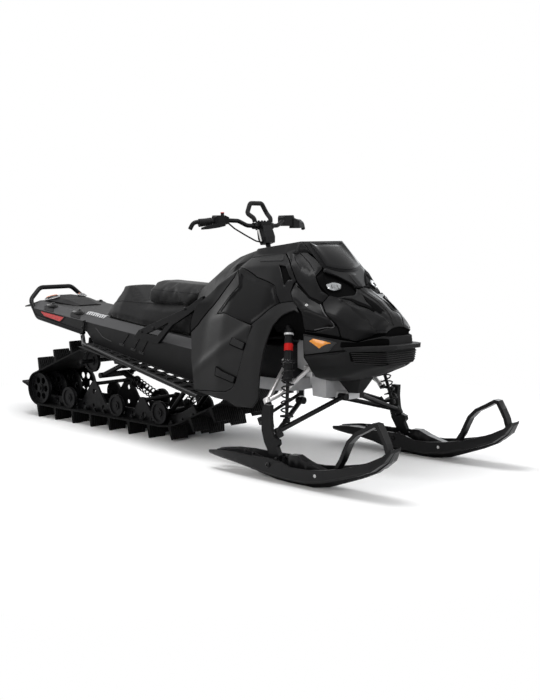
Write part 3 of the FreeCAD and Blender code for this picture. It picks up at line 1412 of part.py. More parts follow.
ski_shocks = []
for label, side in (("right", -1), ("left", 1)):
    low, high, axis = kingpin(side)
    nodes[f"spindle_{label}"] = upright(label, side)
    outer = tie_point(side)
    eye = rod(f"tie_eye_{label}", outer - axis * 8.7, outer + axis * 8.7, 13.0)
    inner = side_vec(D.tie_inner_x, D.tie_inner_y, D.tie_inner_z, side)
    bar = rod(f"tie_bar_{label}", outer, inner, D.tie_radius)
    inner_eye = rod(f"tie_inner_{label}", inner - Vec(0, 0, 12), inner + Vec(0, 0, 12), 12.0)
    nodes[f"tie_rod_{label}"] = fuse(f"tie_rod_{label}", [eye, bar, inner_eye])
    arm_foot = side_vec(D.low_front_x, D.low_front_y, D.low_front_z, side)
    share = (num(D.shock_low_y) - num(D.low_front_y)) / (num(D.kingpin_low_y) - num(D.low_front_y))
    shock_low = arm_foot + (low - arm_foot) * share + Vec(0, 0, num(D.wishbone_radius) + 17.5)
    shock_high = side_vec(D.shock_top_x, D.shock_top_y, D.shock_top_z, side)
    ski_shocks.append(coil_over(f"ski_shock_{label}", shock_low, shock_high, D.shock_body_radius,
                                D.shock_spring_radius, D.spring_wire, 7))
nodes["ski_shocks"] = group("ski_shocks", ski_shocks)


# Skis: keeled trough, upturned tip, forked tail, saddle plates, centre rib and the carrying loop
SKI_STATIONS = (
    # along, keel, hull edge, wall top, deck, half width less the full one
    (0.0, 70.0, 71.0, 90.0, 86.0, -30.0),
    (54.0, 65.0, 66.0, 98.0, 92.0, -22.0),
    (119.0, 60.0, 62.0, 106.0, 98.0, -14.0),
    (214.0, 46.0, 56.0, 110.0, 94.0, -6.0),
    (327.0, 20.0, 42.0, 108.0, 66.0, -1.0),
    (442.0, 3.0, 30.0, 112.0, 50.0, 0.0),
    (527.0, 0.0, 24.0, 104.0, 46.0, 0.0),
    (579.0, 0.0, 22.0, 88.0, 46.0, 0.0),
    (669.0, 0.0, 23.0, 90.0, 50.0, 0.0),
    (769.0, 16.0, 40.0, 102.0, 68.0, 0.0),
    (871.0, 52.0, 70.0, 122.0, 100.0, -1.0),
    (959.0, 84.0, 98.0, 146.0, 130.0, -3.0),
    (1039.0, 120.0, 129.0, 176.0, 164.0, -8.0),
    (1099.0, 168.0, 173.0, 206.0, 199.0, -20.0),
    (1130.0, 219.0, 221.0, 238.0, 235.0, -38.0),
)
LOOP_LINE = ((1310.0, 76.0), (1330.0, 110.0), (1356.0, 147.0), (1377.0, 190.0), (1399.0, 233.0), (1440.0, 272.0),
             (1490.0, 297.0), (1545.0, 327.0), (1562.0, 325.0), (1584.0, 290.0), (1606.0, 250.0), (1618.0, 212.0))


def offset_line(points, shift):
    """An open line moved to its left by a distance."""
    moved = []
    for index, (x, z) in enumerate(points):
        normals = []
        for a, b in ((index - 1, index), (index, index + 1)):
            if a < 0 or b >= len(points):
                continue
            dx = points[b][0] - points[a][0]
            dz = points[b][1] - points[a][1]
            length = math.hypot(dx, dz)
            normals.append((-dz / length, dx / length))
        nx = sum(n[0] for n in normals) / len(normals)
        nz = sum(n[1] for n in normals) / len(normals)
        scale = nx * nx + nz * nz
        moved.append((x + nx / scale * shift, z + nz / scale * shift))
    return moved


def ski_section(along, keel, edge, wall, deck, narrower, side):
    """One outline across the ski, as seen along it."""
    middle = side * num(D.ski_y)
    half = num(D.ski_half) + narrower
    thick = num(D.ski_wall)
    left = [(half * 0.20, keel), (half * 0.26, edge), (half * 0.86, edge + 1.0), (half - 1.0, edge + 22.0 * half / 74.0 * 0.6),
            (half, wall), (half - thick * 0.7, wall), (half - thick, deck), ]
    x = num(D.ski_tail_x) + along
    right = [Vec(x, middle + y, z) for y, z in left]
    return right + [Vec(p.x, 2 * middle - p.y, p.z) for p in reversed(right)]


def make_ski(label, side):
    name = f"ski_{label}"
    y = D.ski_y * side
    base = lofted(name + "_base", [ski_section(*row, side) for row in SKI_STATIONS])
    fork = box(name + "_fork", D.ski_tail_x - 30.0, D.ski_tail_x + 86.0, y - 12.0, y + 12.0, 0.0, 140.0)
    bolt_x = D.ski_bolt_x
    bolt_z = D.ski_bolt_z
    plates = []
    plate_outline = [(bolt_x - 95.0, 36.0), (bolt_x + 110.0, 36.0), (bolt_x + 90.0, 62.0), (bolt_x + 26.0, bolt_z + 22.0),
                     (bolt_x - 26.0, bolt_z + 22.0), (bolt_x - 80.0, 62.0)]
    for tag, low in (("inner", y - D.foot_half - D.saddle_gap - 8.0), ("outer", y + D.foot_half + D.saddle_gap)):
        plates.append(plate(f"{name}_saddle_{tag}", "y", plate_outline, low, low + 8.0))
    pin = rod_y(name + "_bolt", bolt_x, bolt_z, 6.0, y - D.ski_half - 3.0, y + D.ski_half + 3.0)
    middle = num(y)
    rib = lofted(name + "_rib", [
        [Vec(x, middle - half, low), Vec(x, middle + half, low), Vec(x, middle + half - 5.0, high), Vec(x, middle - half + 5.0, high)]
        for x, half, low, high in ((1018.0, 20.0, 36.0, 92.0), (1044.0, 24.0, 36.0, 131.0), (1092.0, 26.0, 36.0, 134.0),
                                   (1150.0, 26.0, 36.0, 112.0), (1262.0, 22.0, 40.0, 84.0))])
    half_band = num(D.loop_thickness) / 2
    band = offset_line(LOOP_LINE, half_band) + list(reversed(offset_line(LOOP_LINE, -half_band)))
    loop = plate(name + "_loop", "y", band, y - D.loop_half, y + D.loop_half)
    forked = cut(name + "_forked", base, [fork])
    return fuse(name, [forked] + plates + [pin, rib, loop])


for label, side in (("right", -1), ("left", 1)):
    nodes[f"ski_{label}"] = make_ski(label, side)


# Handlebar set on its raked post
clamp = vec(D.clamp_x, 0.0, D.clamp_z)
post_low = vec(D.post_low_x, 0.0, D.post_low_z)
post_axis = (clamp - post_low).normalize()
post_top = clamp - post_axis * 22.0
nodes["steering_post"] = rod("steering_post", post_low, post_top, D.post_radius)


def bar_points():
    half = num(D.bar_half)
    right = [Vec(304, -half - 2, 1168), Vec(312, -half + 16, 1203), Vec(342, -300, 1209), Vec(376, -212, 1212),
             Vec(388, -162, 1210), Vec(402, -112, 1186), Vec(405, -48, 1184)]
    left = [Vec(p.x, -p.y, p.z) for p in reversed(right)]
    return right + left


bar_core = tube("bar_core", bar_points(), D.bar_radius, 45.0)
bar_room = tube("bar_room", bar_points(), D.bar_radius + 0.05, 45.0)
nodes["handlebar"] = bar_core
clamp_block = box("clamp_block", D.clamp_x - 30.0, D.clamp_x + 16.0, -34.0, 34.0, D.clamp_z - 20.0, D.clamp_z + 26.0)


def riser_section(distance, half_deep, half_wide):
    """A rectangle square to the post, at a distance below the clamp."""
    centre = clamp - post_axis * distance
    deep = Vec(post_axis.z, 0, -post_axis.x)
    return [centre - deep * half_deep + Vec(0, -half_wide, 0), centre + deep * half_deep + Vec(0, -half_wide, 0),
            centre + deep * half_deep + Vec(0, half_wide, 0), centre - deep * half_deep + Vec(0, half_wide, 0)]


riser = lofted("riser", [riser_section(0.0, 20.0, 32.0), riser_section(30.0, 26.0, 34.0), riser_section(62.0, 28.0, 36.0),
                         riser_section(94.0, 24.0, 30.0)])
clamp_parts = [clamp_block, riser]
for label, side in (("right", -1), ("left", 1)):
    clamp_parts.append(rod_y(f"strap_ring_{label}", 404.6, 1184.3, 17.0, side * 57.0 - 13.0, side * 57.0 + 13.0))
    clamp_parts.append(rod_y(f"strap_bridge_{label}", 404.6, 1184.3, 15.0, side * 38.0 - 8.0, side * 38.0 + 8.0))
clamp_rooms = [bar_room, rod("clamp_room", post_low, post_top, D.post_radius + 0.05)]
nodes["bar_clamp"] = cut("bar_clamp", fuse("clamp_joined", clamp_parts), clamp_rooms)

grips = []
grip_ends = []
for label, side in (("right", -1), ("left", 1)):
    half = num(D.bar_half)
    way = (Vec(342, side * 300, 1209) - Vec(312, side * (half - 16), 1203)).normalize()
    grip_path = [Vec(342, side * 300, 1209) - way * 74, Vec(342, side * 300, 1209) + way * 40]
    grips.append(rod(f"grip_{label}", grip_path[0], grip_path[1], D.grip_radius))
    grip_ends += grip_path
nodes["grips"] = cut("grips", group("grip_pair", grips), [bar_room])

strap_ridge_z = num(D.strap_top_z) - num(D.strap_radius)
strap_wide = num(D.strap_half)
strap_side = [Vec(404, -57, 1204.4), Vec(400, -61, 1224), Vec(362, -strap_wide, 1250),
              Vec(354, -42, strap_ridge_z), Vec(353, 0, strap_ridge_z)]
strap_points = strap_side[:-1] + [Vec(p.x, -p.y, p.z) for p in reversed(strap_side[:-1])]
nodes["mountain_strap"] = tube("mountain_strap", strap_points, D.strap_radius, 20.0)


def block(name, sections):
    """A moulded block along Y: at each place a rectangle in X and Z."""
    outlines = []
    for y, x0, x1, z0, z1 in sections:
        outlines.append([Vec(x0, y, z0), Vec(x1, y, z0), Vec(x1, y, z1), Vec(x0, y, z1)])
    return lofted(name, outlines)


right_block = block("right_block", [(-300.0, 338.0, 366.0, 1196.0, 1228.0), (-286.0, 330.0, 374.0, 1190.0, 1238.0),
                                    (-246.0, 336.0, 382.0, 1190.0, 1238.0), (-226.0, 350.0, 390.0, 1196.0, 1228.0)])
right_button = rod_z("right_button", 352.0, -238.0, 9.0, 1220.0, 1250.0)
right_lever = block("right_lever", [(-388.0, 356.0, 364.0, 1166.0, 1176.0), (-350.0, 358.0, 372.0, 1168.0, 1186.0),
                                    (-290.0, 366.0, 384.0, 1176.0, 1198.0), (-250.0, 360.0, 388.0, 1184.0, 1206.0)])
left_block = block("left_block", [(160.0, 358.0, 396.0, 1196.0, 1228.0), (176.0, 348.0, 398.0, 1184.0, 1240.0),
                                  (244.0, 334.0, 394.0, 1184.0, 1242.0), (262.0, 336.0, 384.0, 1190.0, 1230.0)])
left_guard = block("left_guard", [(240.0, 366.0, 398.0, 1172.0, 1226.0), (290.0, 366.0, 394.0, 1172.0, 1212.0),
                                  (348.0, 362.0, 374.0, 1176.0, 1188.0)])
control_pair = group("control_blocks", [fuse("right_controls", [right_block, right_button, right_lever]),
                                        fuse("left_controls", [left_block, left_guard])])
grip_room = group("grip_room", [rod("grip_room_right", grip_ends[0], grip_ends[1], D.grip_radius + 0.3),
                                rod("grip_room_left", grip_ends[2], grip_ends[3], D.grip_radius + 0.3)])
nodes["bar_controls"] = cut("bar_controls", control_pair, [bar_room, grip_room])

# Control cable from the right control block down to the clamp's riser
CABLE_POINTS = [Vec(368, -240, 1216), Vec(390, -190, 1171), Vec(405, -125, 1136), Vec(423, -68, 1106), Vec(438, -20, 1098)]


def corner_radii(points, bend):
    """The bend radius that each corner of a run gets."""
    radii = []
    for before, corner, after in zip(points, points[1:], points[2:]):
        half = (before - corner).getAngle(after - corner) / 2
        room = 0.45 * min((before - corner).Length, (after - corner).Length)
        radii.append(min(num(bend) / math.tan(half), room) * math.tan(half))
    return radii


cable_tube = tube("cable_tube", CABLE_POINTS, D.cable_radius, num(D.cable_bend))
cable_gap = num(D.cable_room)
riser_room = lofted("riser_room", [riser_section(0.0, 20.0 + cable_gap, 32.0 + cable_gap),
                                   riser_section(30.0, 26.0 + cable_gap, 34.0 + cable_gap),
                                   riser_section(62.0, 28.0 + cable_gap, 36.0 + cable_gap),
                                   riser_section(94.0, 24.0 + cable_gap, 30.0 + cable_gap)])
block_room = block("block_room", [(y, x0 - cable_gap, x1 + cable_gap, z0 - cable_gap, z1 + cable_gap) for y, x0, x1, z0, z1 in
                                  ((-300.0, 338.0, 366.0, 1196.0, 1228.0), (-286.0, 330.0, 374.0, 1190.0, 1238.0),
                                   (-246.0, 336.0, 382.0, 1190.0, 1238.0),
                                   (-226.0 + cable_gap, 350.0, 390.0, 1196.0, 1228.0))])
nodes["control_cable"] = cut("control_cable", cable_tube, [riser_room, block_room, bar_room])
print("control cable bend radii", [round(radius, 1) for radius in corner_radii(CABLE_POINTS, D.cable_bend)])


doc.recompute()
broken = [item.Name for item in doc.Objects if "Invalid" in item.State or "Error" in item.State]
if broken:
    raise SystemExit("failed objects: " + ", ".join(broken))

os.makedirs("parts", exist_ok=True)
for label, obj in nodes.items():
    obj.Label = label
    if obj.Shape.isNull() or not obj.Shape.isValid():
        raise SystemExit("bad shape: " + label)
for label, obj in nodes.items():
    obj.Shape.exportStep(f"parts/{label}.step")
    print(label, len(obj.Shape.Solids), round(obj.Shape.Volume))
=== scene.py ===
import math
from collections import defaultdict

import bmesh
import bpy
import numpy as np
from mathutils import Matrix, Vector, geometry


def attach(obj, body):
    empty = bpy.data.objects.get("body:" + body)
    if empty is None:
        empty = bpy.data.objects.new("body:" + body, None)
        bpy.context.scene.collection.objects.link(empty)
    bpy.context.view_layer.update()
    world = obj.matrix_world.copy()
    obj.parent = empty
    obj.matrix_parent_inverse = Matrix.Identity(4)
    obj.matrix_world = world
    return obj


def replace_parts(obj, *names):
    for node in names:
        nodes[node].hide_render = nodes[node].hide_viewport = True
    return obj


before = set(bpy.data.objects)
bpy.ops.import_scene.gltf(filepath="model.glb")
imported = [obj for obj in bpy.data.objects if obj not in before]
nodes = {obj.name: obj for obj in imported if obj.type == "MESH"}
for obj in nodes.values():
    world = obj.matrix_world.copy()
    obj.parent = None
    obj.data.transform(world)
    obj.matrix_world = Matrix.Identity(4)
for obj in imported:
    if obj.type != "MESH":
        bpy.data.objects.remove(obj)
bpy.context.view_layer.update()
scene = bpy.context.scene
SIDES = (("right", -1.0), ("left", 1.0))


# ---------------------------------------------------------------- camera
CAMERA_PLACE = Vector((4.56120301, -4.16274986, 1.1515873))
CAMERA_TURN = math.radians(44.632)
CAMERA_DIP = math.radians(5.992)
CAMERA_ROLL = math.radians(-0.338)
FOCAL_PIXELS = 1122.43
LONG_SIDE_PIXELS = 700.0
SENSOR_MM = 36.0
CLIP_END = 60.0

camera_data = bpy.data.cameras.new("camera")
camera_data.sensor_width = SENSOR_MM
camera_data.lens = FOCAL_PIXELS / LONG_SIDE_PIXELS * SENSOR_MM
camera_data.clip_end = CLIP_END
camera = bpy.data.objects.new("camera", camera_data)
scene.collection.objects.link(camera)
ahead = Vector((-math.sin(CAMERA_TURN) * math.cos(CAMERA_DIP), math.cos(CAMERA_TURN) * math.cos(CAMERA_DIP),
                -math.sin(CAMERA_DIP)))
right = Vector((math.cos(CAMERA_TURN), math.sin(CAMERA_TURN), 0.0))
upward = right.cross(ahead)
rolled_right = right * math.cos(CAMERA_ROLL) + upward * math.sin(CAMERA_ROLL)
rolled_up = upward * math.cos(CAMERA_ROLL) - right * math.sin(CAMERA_ROLL)
turn = Matrix((rolled_right, rolled_up, -ahead)).transposed()
camera.matrix_world = Matrix.Translation(CAMERA_PLACE) @ turn.to_4x4()
scene.camera = camera
scene.view_settings.view_transform = "Standard"


# ---------------------------------------------------------------- node helpers
EDGE_DOTS = (0.995, 0.80)          # bevelled and true normals' dot product: at an open face, at a full edge


class Nodes:
    """The node tree of one material or world, with short ways to add and join its nodes."""

    def __init__(self, owner, output="OutputMaterial"):
        owner.use_nodes = True
        self.owner, self.tree = owner, owner.node_tree
        self.tree.nodes.clear()
        self.output = self.add(output)

    def add(self, kind, settings=None, **inputs):
        node = self.tree.nodes.new("ShaderNode" + kind)
        for key, value in (settings or {}).items():
            setattr(node, key, value)
        for key, value in inputs.items():
            self.feed(node, key.replace("_", " "), value)
        return node

    def feed(self, node, key, value):
        socket = node.inputs[int(key)] if key.isdigit() else node.inputs[key]
        if isinstance(value, bpy.types.NodeSocket):
            self.tree.links.new(value, socket)
        else:
            socket.default_value = value

    def math(self, operation, a, b=0.0):
        node = self.add("Math", {"operation": operation})
        self.feed(node, "0", a)
        self.feed(node, "1", b)
        return node.outputs[0]

    def mix(self, share, a, b):
        node = self.add("Mix", {"data_type": "RGBA"})
        self.feed(node, "0", share)
        self.feed(node, "6", a)
        self.feed(node, "7", b)
        return node.outputs[2]

    def ramp(self, value, low, high):
        node = self.add("MapRange", {"clamp": True})
        self.feed(node, "0", value)
        self.feed(node, "1", low)
        self.feed(node, "2", high)
        return node.outputs[0]

    def place(self, stretch=None):
        if not hasattr(self, "coordinates"):
            self.coordinates = self.add("TexCoord").outputs["Object"]
        return self.add("Mapping", Vector=self.coordinates, Scale=stretch).outputs[0] if stretch else self.coordinates

    def noise(self, scale, detail=3.0, rough=0.55, stretch=None):
        node = self.add("TexNoise", Vector=self.place(stretch), Scale=scale, Detail=detail, Roughness=rough)
        return node.outputs[0]

    def cells(self, scale, feature):
        return self.add("TexVoronoi", {"feature": feature}, Vector=self.place(), Scale=scale).outputs["Distance"]

    def edge(self, radius):
        """About 1 on an outer edge's bevel and 0 on open faces."""
        bevel = self.add("Bevel", {"samples": 4}, Radius=radius)
        dot = self.add("VectorMath", {"operation": "DOT_PRODUCT"})
        self.feed(dot, "0", bevel.outputs[0])
        self.feed(dot, "1", self.add("NewGeometry").outputs["Normal"])
        return self.ramp(dot.outputs["Value"], *EDGE_DOTS)

    def shaders(self, kind, *parts):
        """Two shaders added, or mixed by a share that comes before them."""
        node = self.add(kind)
        for index, part in enumerate(parts):
            self.feed(node, str(index), part.outputs[0] if hasattr(part, "outputs") else part)
        return node

    def for_eyes(self):
        """1 on the rays of camera, gloss and glass, and 0 on the rays that carry light."""
        path = self.add("LightPath")
        seen = path.outputs["Is Camera Ray"]
        for kind in ("Is Glossy Ray", "Is Transmission Ray"):
            seen = self.math("MAXIMUM", seen, path.outputs[kind])
        return seen

    def close(self, shader):
        self.tree.links.new(shader.outputs[0], self.output.inputs[0])
        return self.owner


def rgba(colour):
    """A full colour from one grey, from (grey, blue) or from (red, green, blue)."""
    if isinstance(colour, float):
        colour = (colour, colour, colour)
    elif len(colour) == 2:
        colour = (colour[0], colour[0], colour[1])
    return tuple(colour) + (1.0,)


ROUGH_SPREAD = 0.08                # how far a finish's roughness wanders
ROUGH_NOISE = 4.3                  # its scale, times that of the slow colour change
MOTTLE_BAND = (0.3, 0.7)           # the share of a noise that a finish spreads from none to full
RUB_SCALE, RUB_BAND = 55.0, (0.35, 0.65)
SCRATCH_SCALE, SCRATCH_STRETCH, SCRATCH_BAND = 40.0, (1.0, 14.0, 9.0), (0.66, 0.72)
DUST_SCALE, DUST_BAND, DUST_SLOPES = 24.0, (0.42, 0.75), (0.35, 1.0)
DUST_COLOUR = (0.07, 0.068, 0.065, 1.0)


def surface(name, colour, rough, metallic=0.0, mottle=0.10, mottle_scale=9.0, grain=900.0, grain_height=0.00004,
            pebbled=False, wear=0.0, worn=0.3, wear_radius=0.0025, coat=0.0, coat_rough=0.08, sheen=0.0, level=0.14,
            scratches=0.0, dust=0.0, brushed=None, extra=None):
    """A finish with slow colour change, fine relief, worn edges, rubbed patches and settled dust."""
    n = Nodes(bpy.data.materials.new(name))
    colour, worn = rgba(colour), rgba(worn)
    dark, light = (tuple(min(1.0, channel * share) for channel in colour[:3]) + (1.0,)
                   for share in (1.0 - mottle, 1.0 + mottle))
    tone = n.mix(n.ramp(n.noise(mottle_scale, 4.0, 0.6), *MOTTLE_BAND), dark, light)
    wander = n.noise(mottle_scale * ROUGH_NOISE, 5.0, 0.65)
    roughness = n.math("ADD", n.math("MULTIPLY", wander, 2.0 * ROUGH_SPREAD), rough - ROUGH_SPREAD)
    if wear:
        rubbed = n.math("MULTIPLY", n.edge(wear_radius), n.ramp(n.noise(RUB_SCALE, 5.0, 0.7), *RUB_BAND))
        tone = n.mix(n.math("MULTIPLY", rubbed, wear), tone, worn)
    if scratches:
        fine = n.noise(SCRATCH_SCALE, 6.0, 0.75, SCRATCH_STRETCH)
        marks = n.math("MULTIPLY", n.ramp(fine, *SCRATCH_BAND), scratches)
        tone = n.mix(marks, tone, worn)
        roughness = n.math("ADD", roughness, n.math("MULTIPLY", marks, 0.2))
    if dust:
        facing = n.add("SeparateXYZ", Vector=n.add("NewGeometry").outputs["Normal"]).outputs[2]
        patches = n.ramp(n.noise(DUST_SCALE, 6.0, 0.7), *DUST_BAND)
        settled = n.math("MULTIPLY", n.ramp(facing, *DUST_SLOPES), patches)
        tone = n.mix(n.math("MULTIPLY", settled, dust), tone, DUST_COLOUR)
        roughness = n.math("ADD", roughness, n.math("MULTIPLY", settled, dust * 0.5))
    if pebbled:
        height = n.math("SUBTRACT", 1.0, n.cells(grain, "SMOOTH_F1"))
    else:
        height = n.noise(grain, 3.0 if brushed else 2.0, 0.6, brushed)
    bump = n.add("Bump", Height=height, Strength=1.0, Distance=grain_height)
    shader = n.add("BsdfPrincipled", Base_Color=tone, Roughness=roughness, Metallic=metallic, Normal=bump.outputs[0],
                   Specular_IOR_Level=level, Coat_Weight=coat, Coat_Roughness=coat_rough, Sheen_Weight=sheen)
    if extra is not None:
        extra(n, shader, tone)
    return n.close(shader)


# ---------------------------------------------------------------- studio
FLOOR_HALF = 12.0
FLOOR_GREY = 0.86
FLOOR_GLOW = 0.26                  # the floor's own light, dimmed where the object covers it: a painted contact shadow
CONTACT_SHADE_REACH, CONTACT_SHADE_POWER = 0.45, 2.5
FADE_FROM, FADE_TO = 1.75, 2.9     # metres from the middle between which the floor turns plain white
ROOM_COLOUR, ROOM_LEVEL = (0.94, 0.96, 1.0, 1.0), 0.22
WHITE = rgba(1.0)
WARM, COOL, PLAIN = (1.0, 0.98, 0.95), (0.94, 0.97, 1.0), (1.0, 1.0, 1.0)
LAMPS = (                          # name, place, aim, size in metres, watts, colour
    ("overhead", (0.2, -0.6, 4.2), (0.0, 0.0, 0.3), (3.0, 1.8), 135.0, PLAIN),
    ("right_side", (1.5, -4.6, 2.2), (0.0, 0.0, 0.6), (3.0, 1.4), 70.0, WARM),
    ("front", (4.9, 1.6, 2.6), (0.4, 0.0, 0.6), (2.6, 2.4), 70.0, PLAIN),
    ("left_side", (-0.6, 4.6, 2.4), (0.0, 0.0, 0.6), (4.0, 2.0), 60.0, COOL),
    ("behind", (-4.8, -0.8, 2.4), (0.0, 0.0, 0.6), (2.4, 2.0), 50.0, PLAIN),
)


def backdrop_material():
    """A white floor that the camera, gloss and glass see as white and that still takes the object's shadow; near the
    object its glow is dimmed by ambient occlusion, a painted contact shadow.
    """
    n = Nodes(bpy.data.materials.new("studio_white"))
    diffuse = n.add("BsdfDiffuse", Color=rgba(FLOOR_GREY), Roughness=0.6)
    # Ambient occlusion dims the floor's glow under and beside the object: painted contact shadow.
    painted_contact_shade = n.add("AmbientOcclusion", {"samples": 8}, Distance=CONTACT_SHADE_REACH).outputs["AO"]
    glow = n.math("MULTIPLY", n.math("POWER", painted_contact_shade, CONTACT_SHADE_POWER), FLOOR_GLOW)
    near = n.shaders("AddShader", diffuse, n.add("Emission", Color=WHITE, Strength=glow))
    far = n.add("Emission", Color=WHITE, Strength=1.0)
    away = n.add("VectorMath", {"operation": "LENGTH"}, Vector=n.place()).outputs["Value"]
    faded = n.shaders("MixShader", n.ramp(away, FADE_FROM, FADE_TO), near, far)
    return n.close(n.shaders("MixShader", n.for_eyes(), diffuse, faded))


mesh = bpy.data.meshes.new("studio_floor")
mesh.from_pydata([(x * FLOOR_HALF, y * FLOOR_HALF, 0.0) for x, y in ((-1, -1), (1, -1), (1, 1), (-1, 1))], [],
                 [(0, 1, 2, 3)])
mesh.update()
mesh.materials.append(backdrop_material())
floor = bpy.data.objects.new("studio_floor", mesh)
scene.collection.objects.link(floor)

n = Nodes(bpy.data.worlds.new("studio"), "OutputWorld")
room = n.add("Background", Color=ROOM_COLOUR, Strength=ROOM_LEVEL)
white = n.add("Background", Color=WHITE, Strength=1.0)
scene.world = n.close(n.shaders("MixShader", n.for_eyes(), room, white))

for name, place, aim, size, watts, colour in LAMPS:
    data = bpy.data.lights.new(name, "AREA")
    data.shape = "RECTANGLE"
    data.size, data.size_y = size
    data.energy = watts
    data.color = colour
    item = bpy.data.objects.new(name, data)
    item.location = place
    item.rotation_euler = (Vector(aim) - Vector(place)).to_track_quat("-Z", "Y").to_euler()
    scene.collection.objects.link(item)


# ---------------------------------------------------------------- finishes
# A colour is one grey, (grey, blue) or (red, green, blue). Heights and radii are in metres.
RIB_PITCH, RIB_HEIGHT = 0.0145, 0.0016
SHOULDER_COLOUR, SHOULDER_BAND = (0.052, 0.052, 0.054, 1.0), (0.45, 0.6)


def tread_ribs(n, shader, tone):
    """Moulded ribs that run down the faces of the lugs."""
    across = n.add("SeparateXYZ", Vector=n.place()).outputs[1]
    wave = n.math("SINE", n.math("MULTIPLY", across, 2.0 * math.pi / RIB_PITCH))
    ribs = n.add("Bump", Height=wave, Strength=0.8, Distance=RIB_HEIGHT)
    n.tree.links.new(shader.inputs["Normal"].links[0].from_socket, ribs.inputs["Normal"])
    n.tree.links.new(ribs.outputs[0], shader.inputs["Normal"])


def pale_shoulder(n, shader, tone):
    """The folded shoulder of the tunnel is left a paler grey."""
    normal = n.add("SeparateXYZ", Vector=n.add("NewGeometry").outputs["True Normal"])
    folded = n.math("MULTIPLY", n.ramp(n.math("ABSOLUTE", normal.outputs[1]), *SHOULDER_BAND),
                    n.ramp(normal.outputs[2], *SHOULDER_BAND))
    n.tree.links.new(n.mix(folded, tone, SHOULDER_COLOUR), shader.inputs["Base Color"])


panel_gloss = surface("panel_gloss", (0.0045, 0.005), 0.28, grain=1500.0, grain_height=0.00001, wear=0.25, worn=0.05,
                      coat=0.10, coat_rough=0.10, dust=0.08)
panel_satin = surface("panel_satin", (0.0052, 0.0056), 0.36, grain=1300.0, grain_height=0.00001, wear=0.3, worn=0.06,
                      dust=0.05, level=0.10)
panel_matte = surface("panel_matte", (0.0100, 0.0104), 0.46, grain=1300.0, grain_height=0.00002, wear=0.3, worn=0.07,
                      dust=0.10)
panel_deep = surface("panel_deep", (0.0030, 0.0033), 0.36, mottle=0.08, grain=1300.0, grain_height=0.000005,
                     wear=0.25, worn=0.05, dust=0.03, level=0.055)
panel_grey = surface("panel_grey", (0.036, 0.037), 0.46, mottle=0.08, grain=1300.0, grain_height=0.00002, wear=0.3,
                     worn=0.09, dust=0.10)
# A light grey for the bead along each wing's front edge: a painted highlight.
highlight_grey = surface("highlight_grey", (0.085, 0.087), 0.42, mottle=0.08, grain=1300.0, grain_height=0.00001)
panel_grained = surface("panel_grained", (0.011, 0.0115), 0.60, mottle=0.14, grain=520.0, grain_height=0.00020,
                        pebbled=True, wear=0.3, worn=0.08, dust=0.14)
black_plastic = surface("black_plastic", (0.0045, 0.005), 0.48, mottle=0.16, grain_height=0.00005, wear=0.3,
                        worn=0.05, dust=0.06, level=0.10)
# deep_black is also used as painted shade: in the hood's gaps and recesses, behind the seams and round the straps.
deep_black = surface("deep_black", (0.0012, 0.0013), 0.70, mottle=0.2, grain_height=0.00005, level=0.03)
rubber = surface("track_rubber", (0.0028, 0.003), 0.62, mottle=0.28, mottle_scale=14.0, grain=420.0,
                 grain_height=0.00016, wear=0.4, worn=(0.035, 0.034, 0.033), wear_radius=0.004, level=0.09,
                 dust=0.05, scratches=0.15, extra=tread_ribs)
soft_rubber = surface("soft_rubber", (0.008, 0.0085), 0.60, mottle=0.2, grain=700.0, grain_height=0.00012, wear=0.3,
                      worn=0.04)
black_metal = surface("black_powder_coat", (0.0045, 0.005), 0.42, mottle=0.12, grain=1100.0, grain_height=0.00009,
                      wear=0.5, worn=(0.10, 0.105), wear_radius=0.0018, coat=0.04, dust=0.04, level=0.10)
tunnel_metal = surface("tunnel_sheet", (0.008, 0.0085), 0.46, mottle=0.15, grain=1000.0, grain_height=0.00007,
                       wear=0.5, worn=(0.12, 0.125), wear_radius=0.002, scratches=0.25, dust=0.12,
                       extra=pale_shoulder)
cast_metal = surface("cast_aluminium", (0.60, 0.61), 0.50, metallic=0.25, grain=380.0, grain_height=0.00014,
                     wear=0.6, worn=0.6)
silver_tube = surface("silver_arm", (0.50, 0.49, 0.49), 0.34, metallic=0.7, mottle=0.08, grain=700.0,
                      grain_height=0.00006, wear=0.4, worn=0.7)
steel = surface("bright_steel", (0.62, 0.61), 0.24, metallic=1.0, mottle=0.06, grain_height=0.00003,
                brushed=(1.0, 1.0, 12.0))
engine_metal = surface("engine_block_metal", (0.03, 0.032), 0.5, metallic=0.6, mottle=0.2, grain=300.0,
                       grain_height=0.0003, wear=0.4, worn=0.2, dust=0.1)
ski_plastic = surface("ski_plastic", (0.0050, 0.0055), 0.32, mottle=0.12, grain=700.0, wear=0.35, worn=0.06,
                      wear_radius=0.004, scratches=0.2, coat=0.06, coat_rough=0.2, dust=0.05)
smoke = surface("smoked_screen", (0.0060, 0.0064), 0.20, mottle=0.05, grain=1500.0, grain_height=0.000004, coat=0.05,
                coat_rough=0.05, level=0.10)
lens = surface("lamp_lens", (0.010, 0.011), 0.10, mottle=0.05, grain=1200.0, grain_height=0.000004, coat=0.4,
               coat_rough=0.02)
vinyl = surface("seat_vinyl", (0.0105, 0.011), 0.50, mottle=0.14, grain=650.0, grain_height=0.00022, pebbled=True,
                sheen=0.04, dust=0.06)
textile = surface("bag_textile", (0.0036, 0.004), 0.62, mottle=0.16, grain=1400.0, grain_height=0.0002, sheen=0.06,
                  dust=0.08)
webbing = surface("strap_webbing", (0.009, 0.0095), 0.78, mottle=0.12, grain=800.0, grain_height=0.0003,
                  brushed=(1.0, 1.0, 0.25), sheen=0.10)
chrome = surface("lamp_reflector", (0.34, 0.35, 0.36), 0.20, metallic=0.9, mottle=0.35, mottle_scale=30.0,
                 grain=120.0, grain_height=0.0008, level=0.5)
